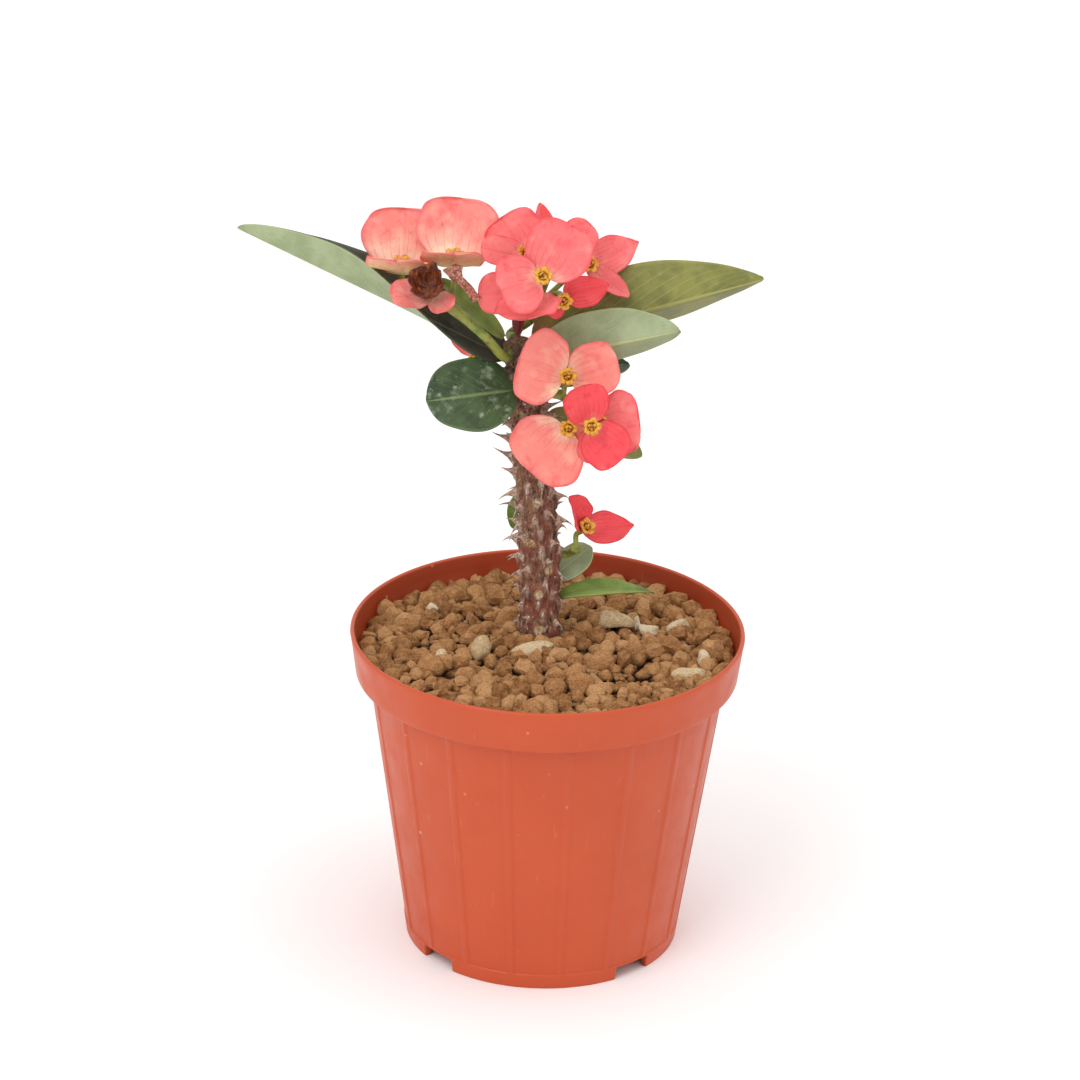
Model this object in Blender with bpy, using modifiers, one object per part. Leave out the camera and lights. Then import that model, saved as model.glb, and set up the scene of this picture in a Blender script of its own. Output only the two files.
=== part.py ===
"""A potted crown of thorns, Euphorbia milii, in a ribbed 12 cm nursery pot.

Blender 4.5, metres, +Z up. The origin is on the pot's axis, on the surface that the pot stands on, and the
plant is seen from -Y. Every leaf, bract, stalk and cup of the plant is an object of its own. What grows on
something takes its place from it: the soil from the pot, the stem from the soil, the leaves and stalks from
the stem, and each flower from the end of its stalk.
"""

import math

import bmesh
import bpy
from mathutils import Matrix, Vector, noise

MM = 0.001

# Clearance between pieces that touch in the real thing.
GAP = 0.3 * MM

# Pot.
POT_HEIGHT = 101.4 * MM
RIM_RADIUS = 60.0 * MM
SKIRT_RADIUS = 58.2 * MM
SKIRT_HEIGHT = 13.6 * MM
WALL_TOP_RADIUS = 54.3 * MM
BASE_RADIUS = 41.6 * MM
WALL = 1.4 * MM
LIP_RADIUS = 0.7 * MM
LEDGE_SLOPE = 0.4 * MM
LIP_POINTS = 5
FLOOR = 1.8 * MM
FLOOR_RAISE = 3.0 * MM
PAD_RADIUS = 14.0 * MM
PAD_SLOPE = 2.0 * MM
POT_STEPS = 72
RIB_COUNT = 18
RIB_WIDTH = 2.1 * MM
RIB_PROUD = 0.35 * MM
RIB_TURN = 8.0
FOOT_COUNT = 4
FOOT_TURN = -48.4
NOTCH_WIDTH = 12.4 * MM
NOTCH_HEIGHT = 4.4 * MM
DRAIN_RADIUS = 4.0 * MM
DRAIN_CIRCLE = 30.0 * MM
FRONT = -90.0

# Soil.
SOIL_BELOW_RIM = 8.0 * MM
SOIL_MOUND = 4.5 * MM
GRAIN_SIZE = 6.0 * MM
GRAIN_RELIEF = 1.4 * MM
SOIL_RINGS = 15
SOIL_STEPS = 60
COLLAR_MARGIN = 3.0 * MM

# Stem.
STEM_X = -2.6 * MM
STEM_Y = 4.0 * MM
STEM_BURIED = 24.0 * MM
STEM_HEIGHT = 97.0 * MM
STEM_RADIUS = 6.0 * MM
STEM_TOP_RADIUS = 4.4 * MM
STEM_LEAN = 8.2 * MM
STEM_POINTS = 14
STEM_RESOLUTION = 4
THORN_SPACING = 1.393 * MM
THORN_TURN = 137.5
THORN_LENGTH = 5.5 * MM
THORN_RADIUS = 1.3 * MM
THORN_SINK = 1.2 * MM
THORN_UP = 20.0
THORN_DOWN = 25.0
SHORT_THORN = 0.75
THORN_FOOT = 5.0 * MM
THORN_HEAD = 7.0 * MM
THORN_CLEAR = 5.5 * MM
THORN_OFF_LEAF = 1.2 * MM

# Leaves, bracts and stalks.
LEAF_THICK = 0.8 * MM
LEAF_BASE_WIDTH = 2.4 * MM
SEAT = 0.5 * MM
BRACT_THICK = 0.6 * MM
BRACT_BASE_WIDTH = 2.0 * MM
BRACT_DROP = 1.0 * MM
BRACT_STEP = 0.9 * MM
BLADE_TIP_WIDTH = 0.8 * MM
LEAF_FULLNESS = 0.9
BRACT_FULLNESS = 0.7
LEAF_CELLS = (10, 4)
LONG_LEAF_CELLS = (12, 4)
BRACT_CELLS = (8, 4)
STALK_RADIUS = 1.5 * MM
STUB_RADIUS = 1.3 * MM
NODE_RADIUS = 1.9 * MM
PEDICEL_RADIUS = 0.9 * MM
PEDICEL_SINK = 0.6 * MM
PEDICEL_STRAIGHT = 3.6 * MM
PEDICEL_PULL = 0.35
PEDICEL_STEPS = 5
CUP_RADIUS = 2.8 * MM
CUP_HEIGHT = 3.2 * MM
CUP_STEPS = 14

# Where the flower stalks grow: the upper ones below the stem's tip, the lowest above the soil.
LEFT_STALK_DROP = 4.4 * MM
TOP_STALK_DROP = 1.9 * MM
FRONT_STALK_DROP = 15.5 * MM
BACK_STALK_DROP = 21.3 * MM
LOW_STALK_RISE = 26.2 * MM
STUB_DROP = 12.6 * MM
STUB_TIP_DROP = 7.8 * MM


def clear_scene():
    for obj in list(bpy.data.objects):
        bpy.data.objects.remove(obj, do_unlink=True)


def collection(name):
    made = bpy.data.collections.new(name)
    bpy.context.scene.collection.children.link(made)
    return made


def material(name, colour, roughness):
    """A Principled material of that plain colour."""
    made = bpy.data.materials.new(name)
    made.use_nodes = True
    shader = made.node_tree.nodes["Principled BSDF"]
    shader.inputs["Base Color"].default_value = (*colour, 1.0)
    shader.inputs["Roughness"].default_value = roughness
    shader.inputs["Metallic"].default_value = 0.0
    return made


def add(name, mesh, where, finish=None, smooth=True):
    """A mesh as an object in a collection, with its material."""
    obj = bpy.data.objects.new(name, mesh)
    where.objects.link(obj)
    if finish:
        mesh.materials.append(finish)
    for face in mesh.polygons:
        face.use_smooth = smooth
    return obj


def helper(name, mesh):
    """A cutter, or a piece that is joined to another: it is never rendered."""
    obj = add(name, mesh, HELPERS)
    obj.hide_render = True
    obj.display_type = "WIRE"
    return obj


def boolean(obj, other, operation):
    step = obj.modifiers.new(operation.title() + " " + other.name, "BOOLEAN")
    step.operation = operation
    step.solver = "EXACT"
    step.object = other


def mesh_of(shape, name):
    mesh = bpy.data.meshes.new(name)
    shape.to_mesh(mesh)
    shape.free()
    return mesh


def polar(radius, azimuth, height=0.0):
    """A point at that radius, azimuth in degrees and height."""
    turn = math.radians(azimuth)
    return Vector((radius * math.cos(turn), radius * math.sin(turn), height))


def turned(name, profile, where, finish, steps):
    """A profile from the axis to the axis, turned about Z."""
    mesh = bpy.data.meshes.new(name)
    points = [(radius, 0.0, height) for radius, height in profile]
    mesh.from_pydata(points, [(i, i + 1) for i in range(len(points) - 1)], [])
    obj = add(name, mesh, where, finish)
    screw = obj.modifiers.new("Turn", "SCREW")
    screw.steps = steps
    screw.render_steps = steps
    screw.use_merge_vertices = True
    screw.merge_threshold = 0.01 * MM
    screw.use_smooth_shade = True
    return obj


# ---------------------------------------------------------------- pot

def wall_radius(height):
    """Outer radius of the plain wall at a height."""
    top = POT_HEIGHT - SKIRT_HEIGHT
    return BASE_RADIUS + (WALL_TOP_RADIUS - BASE_RADIUS) * height / top


def collar_radius(height):
    """Outer radius of the collar at a height."""
    bottom = POT_HEIGHT - SKIRT_HEIGHT
    return SKIRT_RADIUS + (RIM_RADIUS - SKIRT_RADIUS) * (height - bottom) / SKIRT_HEIGHT


def pot_inside():
    """(radius, height) of the inner face, from the floor to just below the lip."""
    floor_top = FLOOR_RAISE + FLOOR
    ledge = POT_HEIGHT - SKIRT_HEIGHT + WALL
    return [
        (wall_radius(floor_top) - WALL, floor_top),
        (wall_radius(ledge) - WALL, ledge),
        (collar_radius(ledge) - WALL, ledge + LEDGE_SLOPE),
        (collar_radius(POT_HEIGHT - LIP_RADIUS) - WALL, POT_HEIGHT - LIP_RADIUS),
    ]


def pot_profile():
    inside = pot_inside()
    rim_inner = inside[-1][0]
    lip = []
    for i in range(LIP_POINTS):
        turn = math.pi * (1 - i / (LIP_POINTS - 1))
        centre = (rim_inner + RIM_RADIUS) / 2
        lip.append((
            centre + (RIM_RADIUS - rim_inner) / 2 * math.cos(turn),
            POT_HEIGHT - LIP_RADIUS + LIP_RADIUS * math.sin(turn),
        ))
    skirt_bottom = POT_HEIGHT - SKIRT_HEIGHT
    return [
        (0.0, FLOOR_RAISE + FLOOR),
        *inside[:-1],
        *lip,
        (SKIRT_RADIUS, skirt_bottom),
        (WALL_TOP_RADIUS, skirt_bottom),
        (BASE_RADIUS, 0.0),
        (BASE_RADIUS - WALL, 0.0),
        (BASE_RADIUS - WALL, FLOOR_RAISE),
        (PAD_RADIUS + PAD_SLOPE, FLOOR_RAISE),
        (PAD_RADIUS, 0.0),
        (0.0, 0.0),
    ]


def pot_ribs():
    """The raised strips down the wall, from the top of the notches to the skirt."""
    top = POT_HEIGHT - SKIRT_HEIGHT
    lean = math.atan2(WALL_TOP_RADIUS - BASE_RADIUS, top)
    low = NOTCH_HEIGHT
    high = top - GAP
    middle = (low + high) / 2
    depth = RIB_PROUD + WALL / 2
    shape = bmesh.new()
    for i in range(RIB_COUNT):
        place = (
            Matrix.Rotation(math.radians(FRONT + RIB_TURN + i * 360 / RIB_COUNT), 4, "Z")
            @ Matrix.Translation((wall_radius(middle) + RIB_PROUD - depth / 2, 0, middle))
            @ Matrix.Rotation(lean, 4, "Y")
            @ Matrix.Diagonal((depth, RIB_WIDTH, (high - low) / math.cos(lean), 1))
        )
        bmesh.ops.create_cube(shape, size=1.0, matrix=place)
    return helper("rib_strips", mesh_of(shape, "rib_strips"))


def foot_notches():
    """Cutters for the gaps between the feet."""
    shape = bmesh.new()
    reach = 4 * WALL
    for i in range(FOOT_COUNT):
        place = (
            Matrix.Rotation(math.radians(FRONT + FOOT_TURN + i * 360 / FOOT_COUNT), 4, "Z")
            @ Matrix.Translation((BASE_RADIUS - WALL - GAP + reach / 2, 0, 0))
            @ Matrix.Diagonal((reach, NOTCH_WIDTH, 2 * NOTCH_HEIGHT, 1))
        )
        bmesh.ops.create_cube(shape, size=1.0, matrix=place)
    return helper("foot_notches", mesh_of(shape, "foot_notches"))


def drain_holes():
    shape = bmesh.new()
    for i in range(FOOT_COUNT):
        angle = FRONT + FOOT_TURN + (i + 0.5) * 360 / FOOT_COUNT
        bmesh.ops.create_cone(
            shape, cap_ends=True, segments=20, radius1=DRAIN_RADIUS, radius2=DRAIN_RADIUS,
            depth=4 * FLOOR, matrix=Matrix.Translation(polar(DRAIN_CIRCLE, angle, FLOOR_RAISE + FLOOR / 2)),
        )
    return helper("drain_holes", mesh_of(shape, "drain_holes"))


def build_pot():
    pot = turned("pot", pot_profile(), PARTS, TERRACOTTA, POT_STEPS)
    boolean(pot, pot_ribs(), "UNION")
    boolean(pot, foot_notches(), "DIFFERENCE")
    boolean(pot, drain_holes(), "DIFFERENCE")


# ---------------------------------------------------------------- soil

def soil_edge_height():
    return POT_HEIGHT - SOIL_BELOW_RIM


def soil_top(radius):
    """Height of the smooth mound: level at the wall, highest in the middle."""
    edge = inner_radius_at(soil_edge_height())
    return soil_edge_height() + SOIL_MOUND * (1 - (radius / edge) ** 2)


def inner_radius_at(height):
    """Inner radius of the pot at a height."""
    inside = pot_inside()
    for (r0, z0), (r1, z1) in zip(inside, inside[1:]):
        if z0 <= height <= z1:
            return r0 + (r1 - r0) * (height - z0) / (z1 - z0)
    return inside[-1][0]


def build_soil():
    """Granules as one bumpy mass, a gap inside the pot, with a hole for the stem."""
    inside = pot_inside()
    edge_radius = inner_radius_at(soil_edge_height()) - GAP
    radii = [edge_radius * i / SOIL_RINGS for i in range(SOIL_RINGS + 1)]
    top_rings = [(radius, soil_top(radius)) for radius in radii]
    outline = [
        *top_rings,
        (inside[2][0] - GAP, inside[2][1] + GAP),
        (inside[1][0] - GAP, inside[1][1] + GAP),
        (inside[0][0] - GAP, inside[0][1] + GAP),
        (0.0, inside[0][1] + GAP),
    ]
    shape = bmesh.new()
    verts = [shape.verts.new((radius, 0.0, height)) for radius, height in outline]
    edges = [shape.edges.new(pair) for pair in zip(verts, verts[1:])]
    bmesh.ops.spin(shape, geom=[*verts, *edges], axis=(0, 0, 1), angle=math.tau, steps=SOIL_STEPS)
    bmesh.ops.remove_doubles(shape, verts=shape.verts, dist=0.01 * MM)
    bmesh.ops.recalc_face_normals(shape, faces=shape.faces)
    rim = edge_radius - COLLAR_MARGIN
    for vert in shape.verts:
        radius = math.hypot(vert.co.x, vert.co.y)
        if vert.co.z > soil_edge_height() - GAP and radius < rim:
            near, _ = noise.voronoi(Vector((vert.co.x, vert.co.y, 0.0)) / GRAIN_SIZE)
            vert.co.z += GRAIN_RELIEF * (0.5 - near[0])
    soil = add("soil", mesh_of(shape, "soil"), PARTS, EARTH, smooth=False)
    hole = bmesh.new()
    depth = STEM_BURIED + GAP
    top = SOIL_MOUND + 2 * GRAIN_RELIEF
    bmesh.ops.create_cone(
        hole, cap_ends=True, segments=24, radius1=STEM_RADIUS + 2 * GAP, radius2=STEM_RADIUS + 2 * GAP,
        depth=depth + top, matrix=Matrix.Translation((STEM_X, STEM_Y, soil_level() + (top - depth) / 2)),
    )
    boolean(soil, helper("stem_hole", mesh_of(hole, "stem_hole")), "DIFFERENCE")


def soil_level():
    """Height of the soil where the stem comes out."""
    return soil_top(math.hypot(STEM_X, STEM_Y))


# ---------------------------------------------------------------- stem

def above_soil(distance):
    """That distance up from the soil, as a share of the stem's height."""
    return distance / STEM_HEIGHT


def below_tip(distance):
    """The share of the stem's height at that distance down from its tip."""
    return 1 - distance / STEM_HEIGHT


def stem_axis(up):
    """Point on the stem's axis at a share of its height above the soil; below the soil it is plumb."""
    lean = STEM_LEAN * max(up, 0.0) ** 2
    return Vector((STEM_X - lean, STEM_Y, soil_level() + up * STEM_HEIGHT))


def stem_radius(up):
    return STEM_RADIUS + (STEM_TOP_RADIUS - STEM_RADIUS) * max(up, 0.0) ** 3


def on_stem(up, azimuth, off):
    """Point off the stem's side, at a share of its height and an azimuth."""
    return stem_axis(up) + polar(stem_radius(up) + off, azimuth)


def beside_stem(up, offset):
    """The point at that offset, in mm to +X, +Y and up, from the stem's axis at a share of its height."""
    return stem_axis(up) + Vector(offset) * MM


def tube_mesh(name, points, radii, resolution):
    """A round tube with closed ends through the points."""
    curve = bpy.data.curves.new(name, "CURVE")
    curve.dimensions = "3D"
    curve.bevel_depth = 1.0
    curve.bevel_resolution = resolution
    curve.use_fill_caps = True
    spline = curve.splines.new("POLY")
    spline.points.add(len(points) - 1)
    for knot, point, radius in zip(spline.points, points, radii):
        knot.co = (*point, 1.0)
        knot.radius = radius
    obj = bpy.data.objects.new(name, curve)
    HELPERS.objects.link(obj)
    bpy.context.view_layer.update()
    mesh = bpy.data.meshes.new_from_object(obj.evaluated_get(bpy.context.evaluated_depsgraph_get()))
    bpy.data.objects.remove(obj)
    shape = bmesh.new()
    shape.from_mesh(mesh)
    bmesh.ops.remove_doubles(shape, verts=shape.verts, dist=0.001 * MM)
    bmesh.ops.recalc_face_normals(shape, faces=shape.faces)
    shape.to_mesh(mesh)
    shape.free()
    return mesh


def smooth_path(knots, steps):
    """Points along a Catmull-Rom curve through the knots."""
    ends = [knots[0] * 2 - knots[1], *knots, knots[-1] * 2 - knots[-2]]
    path = []
    for a, b, c, d in zip(ends, ends[1:], ends[2:], ends[3:]):
        for i in range(steps):
            t = i / steps
            path.append((
                2 * b + (c - a) * t + (2 * a - 5 * b + 4 * c - d) * t * t + (3 * b - a - 3 * c + d) * t ** 3
            ) / 2)
    path.append(knots[-1].copy())
    return path


def thorn_places():
    """(share of height, azimuth) of each thorn, leaving bare what a leaf, stalk or flower needs."""
    count = int((STEM_HEIGHT - THORN_FOOT - THORN_HEAD) / THORN_SPACING) + 1
    for i in range(count):
        up = above_soil(THORN_FOOT + i * THORN_SPACING)
        azimuth = i * THORN_TURN
        tip = on_stem(up, azimuth, THORN_LENGTH)
        seats = [on_stem(seat_up, seat_azimuth, THORN_LENGTH / 2) for seat_up, seat_azimuth in TAKEN]
        middle = on_stem(up, azimuth, THORN_LENGTH / 2)
        off_seats = all((tip - seat).length > THORN_CLEAR for seat in seats)
        if off_seats and all(off_blade(middle, blade) > THORN_OFF_LEAF for blade in LEAVES):
            yield up, azimuth


def off_blade(point, blade):
    """Distance from a point to a leaf."""
    _, nearest, _, _ = blade.closest_point_on_mesh(blade.matrix_world.inverted() @ point)
    return (blade.matrix_world @ nearest - point).length


def build_stem():
    bpy.context.view_layer.update()
    ups = [-STEM_BURIED / STEM_HEIGHT, 0.0]
    ups += [(i + 1) / STEM_POINTS for i in range(STEM_POINTS)]
    axis = [stem_axis(up) for up in ups]
    radii = [stem_radius(up) for up in ups]
    stem = add("main_stem", tube_mesh("main_stem", axis, radii, STEM_RESOLUTION), PARTS, BARK)
    shape = bmesh.new()
    for i, (up, azimuth) in enumerate(thorn_places()):
        slope = THORN_UP if i % 2 else -THORN_DOWN
        depth = THORN_LENGTH * (1.0 if i % 3 else SHORT_THORN) + THORN_SINK
        place = (
            Matrix.Translation(on_stem(up, azimuth, -THORN_SINK))
            @ Matrix.Rotation(math.radians(azimuth), 4, "Z")
            @ Matrix.Rotation(math.radians(90 - slope), 4, "Y")
            @ Matrix.Translation((0, 0, depth / 2))
        )
        bmesh.ops.create_cone(
            shape, cap_ends=True, segments=6, radius1=THORN_RADIUS, radius2=THORN_RADIUS / 10,
            depth=depth, matrix=place,
        )
    boolean(stem, helper("thorns", mesh_of(shape, "thorns")), "UNION")


# ---------------------------------------------------------------- blades

def blade_mesh(name, length, width, base_width, fullness, bend, fold, fold_tip, twist, cup, cells):
    """A leaf or bract along +X, its upper side up. A grid is laid out so that

    - the outline is an ellipse raised to a power, a low one for a full, round blade;
    - the midrib bends down by a share of the length;
    - both sides fold up about the midrib, from one angle at the base to another at the tip;
    - the sides also cup, with the square of the distance from the midrib;
    - the whole turns about the midrib towards the tip.
    """
    shape = bmesh.new()
    bmesh.ops.create_grid(shape, x_segments=cells[0], y_segments=cells[1], size=1.0)
    for vert in shape.verts:
        s = (vert.co.x + 1) / 2
        v = vert.co.y
        u = (1 - math.cos(math.pi * s)) / 2
        half = width / 2 * max(math.sin(math.pi * s), 0.0) ** fullness
        least = (base_width * (1 - u) + BLADE_TIP_WIDTH * u) / 2
        half = max(half, least)
        angle = math.radians(fold + (fold_tip - fold) * u)
        across = v * half * math.cos(angle)
        rise = abs(v) * half * math.sin(angle) + cup * half * v * v
        turn = math.radians(twist) * u
        vert.co = Vector((
            length * u,
            across * math.cos(turn) - rise * math.sin(turn),
            across * math.sin(turn) + rise * math.cos(turn) - bend * length * u * u,
        ))
    return mesh_of(shape, name)


def thicken(obj, thickness):
    solid = obj.modifiers.new("Thickness", "SOLIDIFY")
    solid.thickness = thickness
    solid.offset = 0.0


def leaf(name, finish, up, azimuth, heading, pitch, roll, length, width,
         bend=0.0, fold=10.0, fold_tip=None, twist=0.0, cells=LEAF_CELLS):
    """A leaf on the stem. Heading, pitch and roll are those of its midrib at the base, in degrees."""
    TAKEN.append((up, azimuth))
    mesh = blade_mesh(
        name, length * MM, width * MM, LEAF_BASE_WIDTH, LEAF_FULLNESS, bend, fold,
        fold if fold_tip is None else fold_tip, twist, 0.0, cells,
    )
    obj = add(name, mesh, PARTS, finish)
    obj.location = on_stem(up, azimuth, SEAT)
    obj.rotation_euler = (math.radians(roll), math.radians(-pitch), math.radians(heading))
    thicken(obj, LEAF_THICK)
    LEAVES.append(obj)


# ---------------------------------------------------------------- flowers

def facing(heading, elevation):
    """The unit vector that a flower looks along."""
    return Vector((
        math.cos(math.radians(elevation)) * math.cos(math.radians(heading)),
        math.cos(math.radians(elevation)) * math.sin(math.radians(heading)),
        math.sin(math.radians(elevation)),
    ))


def cup(name, holder):
    """The small cup with its ring of yellow glands."""
    profile = [
        (0.0, CUP_HEIGHT * 0.8), (CUP_RADIUS * 0.4, CUP_HEIGHT), (CUP_RADIUS, CUP_HEIGHT * 0.95),
        (CUP_RADIUS, CUP_HEIGHT * 0.75), (CUP_RADIUS * 0.65, CUP_HEIGHT * 0.5),
        (CUP_RADIUS * 0.45, 0.0), (0.0, 0.0),
    ]
    obj = turned(name, profile, PARTS, GLAND, CUP_STEPS)
    obj.parent = holder
    obj.location = (0, 0, GAP)


def bract(spin, tilt, length, width, fold=0.0, cupped=0.1):
    """A bract's direction in its flower's plane, its tilt to the front, and its size and shape.

    A direction of 0 is to the right as the flower is looked at, and 90 is up.
    """
    return spin, tilt, length, width, fold, cupped


def flower(name, up, offset, heading, elevation, bracts, finish, cup_name=None):
    """Two bracts, and the cup where there is one, on the end of a pedicel: its end and the way it points.

    Its place is an offset from the stem where the stalk grows. The second bract sits a step below the first.
    """
    at = beside_stem(up, offset)
    holder = bpy.data.objects.new(name + "_end", None)
    PARTS.objects.link(holder)
    holder.location = at
    holder.rotation_euler = (math.radians(90 - elevation), 0, math.radians(heading + 90))
    for i, (spin, tilt, length, width, fold, cupped) in enumerate(bracts):
        part = f"{name}_bract_{i + 1}"
        mesh = blade_mesh(
            part, length * MM, width * MM, BRACT_BASE_WIDTH, BRACT_FULLNESS, 0.0, fold, fold, 0.0, cupped,
            BRACT_CELLS,
        )
        obj = add(part, mesh, PARTS, finish)
        obj.parent = holder
        obj.location = polar(PEDICEL_RADIUS + SEAT, spin, -BRACT_DROP - i * BRACT_STEP)
        obj.rotation_euler = (0, math.radians(-tilt), math.radians(spin))
        thicken(obj, BRACT_THICK)
    if cup_name:
        cup(cup_name, holder)
    return at, facing(heading, elevation)


def pedicel_path(fork, end, way):
    """A cubic curve from inside the fork that comes into line with the flower, then a straight end."""
    start = fork + (end - fork).normalized() * PEDICEL_SINK
    stop = end - way * PEDICEL_STRAIGHT
    pull = (stop - start).length * PEDICEL_PULL
    a = start + (stop - start).normalized() * pull
    b = stop - way * pull
    path = []
    for i in range(PEDICEL_STEPS + 1):
        t = i / PEDICEL_STEPS
        path.append(
            start * (1 - t) ** 3 + a * 3 * t * (1 - t) ** 2 + b * 3 * t * t * (1 - t) + stop * t ** 3
        )
    return [*path, end]


def stalk(name, finish, up, azimuth, knots, ends):
    """A peduncle from the stem through its knots, forking at the last into a pedicel for each flower.

    The knots are offsets from the stem's axis where the stalk grows.
    """
    TAKEN.append((up, azimuth))
    start = on_stem(up, azimuth, SEAT)
    out = on_stem(up, azimuth, 2 * STALK_RADIUS)
    route = [start, out, *(beside_stem(up, knot) for knot in knots)]
    path = smooth_path(route, 3)
    fork = path[-1]
    obj = add(name, tube_mesh(name, path, [STALK_RADIUS] * len(path), 1), PARTS, finish)
    shape = bmesh.new()
    bmesh.ops.create_uvsphere(
        shape, u_segments=12, v_segments=8, radius=NODE_RADIUS, matrix=Matrix.Translation(fork),
    )
    boolean(obj, helper(name + "_swelling", mesh_of(shape, name + "_swelling")), "UNION")
    for i, (end, way) in enumerate(ends):
        pedicel = pedicel_path(fork, end, way)
        radii = [PEDICEL_RADIUS] * len(pedicel)
        branch = helper(f"{name}_pedicel_{i + 1}", tube_mesh(f"{name}_pedicel_{i + 1}", pedicel, radii, 1))
        boolean(obj, branch, "UNION")
    return obj


clear_scene()
PARTS = collection("potted_euphorbia")
HELPERS = collection("helpers")
HELPERS.hide_render = True
TAKEN = []
LEAVES = []

TERRACOTTA = material("terracotta_plastic", (0.62, 0.12, 0.045), 0.45)
EARTH = material("granular_soil", (0.33, 0.20, 0.10), 0.95)
BARK = material("bark", (0.16, 0.09, 0.07), 0.85)
LEAF_DARK = material("leaf_dark", (0.03, 0.08, 0.03), 0.45)
LEAF_PALE = material("leaf_pale", (0.30, 0.36, 0.18), 0.55)
LEAF_OLIVE = material("leaf_olive", (0.24, 0.27, 0.07), 0.5)
STALK_GREEN = material("stalk_green", (0.20, 0.22, 0.05), 0.5)
CORAL = material("bract_coral", (0.90, 0.20, 0.19), 0.5)
RED = material("bract_red", (0.80, 0.07, 0.09), 0.5)
GLAND = material("gland_yellow", (0.80, 0.42, 0.03), 0.4)

build_pot()
build_soil()

# Leaves, from the top down.
leaf("leaf_long_left", LEAF_PALE, below_tip(6.8 * MM), 176, 174, 24, -40, 88, 25, fold=25, fold_tip=55,
     twist=80, cells=LONG_LEAF_CELLS)
leaf("leaf_right_back", LEAF_OLIVE, below_tip(2.9 * MM), 30, 5, 16, -78, 71, 31, fold=42)
leaf("leaf_right_front", LEAF_PALE, below_tip(6.8 * MM), -30, -9, 17, -80, 45, 24, fold=40)
leaf("leaf_front_left", LEAF_DARK, below_tip(15.5 * MM), 235, 205, 2, -52, 28, 23, bend=0.05, fold=6)
leaf("leaf_right_middle", LEAF_DARK, below_tip(15.5 * MM), 20, 15, 18, 10, 27, 18, bend=0.2, fold=10)
leaf("leaf_right_small", LEAF_OLIVE, below_tip(26.2 * MM), 15, 5, -18, 30, 32, 14, bend=0.15, fold=10)
leaf("leaf_behind_stem", LEAF_OLIVE, below_tip(53 * MM), 118, 116, -58, 43, 18, 8.5, fold=10)
leaf("leaf_basal_round", LEAF_PALE, above_soil(16.5 * MM), 50, 20, 35, 20, 15, 12, fold=5)
leaf("leaf_basal_long", LEAF_OLIVE, above_soil(11.5 * MM), 15, -5, 24, 20, 27, 8, bend=0.4, fold=20)
leaf("leaf_young", STALK_GREEN, below_tip(0.5 * MM), 180, 173, 42, -40, 26, 7, fold=25)

# Flowers by cluster, each stalk after the flowers that it carries.
LEFT_STALK = below_tip(LEFT_STALK_DROP)
left = [
    flower("flower_left_outer", LEFT_STALK, (-35.4, 1, 25), -95, 80,
           [bract(92, 55, 18, 24.5, cupped=0.2), bract(-92, 48, 14, 20)], CORAL),
    flower("flower_left_inner", LEFT_STALK, (-19.9, -2, 28.7), -90, 80,
           [bract(83, 52, 19, 24.5, cupped=0.2), bract(-90, 48, 14, 20)], CORAL, "cup_left_inner"),
    flower("flower_left_dried", LEFT_STALK, (-26.4, -12, 22.5), -110, 50,
           [bract(215, 30, 12, 11, cupped=0.3), bract(-35, 20, 9, 8, cupped=0.2)], CORAL, "cup_left_dried"),
]
stalk("peduncle_left", STALK_GREEN, LEFT_STALK, 232, [(-10.9, -10, 8.5), (-20.9, -9, 17)], left)

TOP_STALK = below_tip(TOP_STALK_DROP)
right = [
    flower("flower_top_front", TOP_STALK, (6.5, -19, 28.1), -85, 30,
           [bract(198, 15, 13, 18, cupped=0.2), bract(58, 18, 17, 20, cupped=0.15)], CORAL, "cup_top_front"),
    flower("flower_top_left", TOP_STALK, (2, -9, 31.1), -100, 30,
           [bract(180, 32, 14, 9), bract(130, 10, 13, 18)], CORAL, "cup_top_left"),
    flower("flower_top_right", TOP_STALK, (19.5, 6, 22.6), -60, 30,
           [bract(-50, 15, 15, 8, fold=30, cupped=0.0), bract(12, 10, 18, 12, fold=10)],
           RED, "cup_top_right"),
    flower("flower_top_back", TOP_STALK, (9.5, 0, 26.1), -90, 35,
           [bract(105, 25, 17, 9, fold=40, cupped=0.0), bract(45, 5, 15, 12)], CORAL),
    flower("flower_top_low", TOP_STALK, (2.5, -13, 20.6), -95, 5,
           [bract(-80, 72, 12, 20), bract(182, 12, 14, 13)], CORAL),
    flower("flower_top_under", TOP_STALK, (12.5, -6, 16.6), -80, 0,
           [bract(22, 20, 14, 11), bract(-120, 20, 6, 6)], RED),
]
stalk("peduncle_top", STALK_GREEN, TOP_STALK, 110, [(3.5, 6, 5.1), (5.5, 3, 11.1)], right)

FRONT_STALK = below_tip(FRONT_STALK_DROP)
front = [
    flower("flower_front_upper", FRONT_STALK, (12.4, -13, 8.2), -85, 25,
           [bract(160, 10, 14.5, 23), bract(15, 15, 15, 16)], CORAL, "cup_front_upper"),
    flower("flower_front_lower", FRONT_STALK, (13.4, -13, -7.8), -95, 12,
           [bract(230, 10, 17, 24), bract(-30, 10, 5, 5)], CORAL, "cup_front_lower"),
    flower("flower_front_right", FRONT_STALK, (19.4, -22, -3.8), -75, 20,
           [bract(98, 15, 12, 14, cupped=0.2), bract(-54, 15, 13, 15, cupped=0.2)], RED, "cup_front_right"),
    flower("flower_front_back", FRONT_STALK, (22.4, -17, -5.3), -80, 20,
           [bract(5, 10, 11, 19), bract(-100, 10, 11, 12)], CORAL),
]
stalk("peduncle_front", STALK_GREEN, FRONT_STALK, -45, [(11.4, -9, 0.7)], front)

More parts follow.
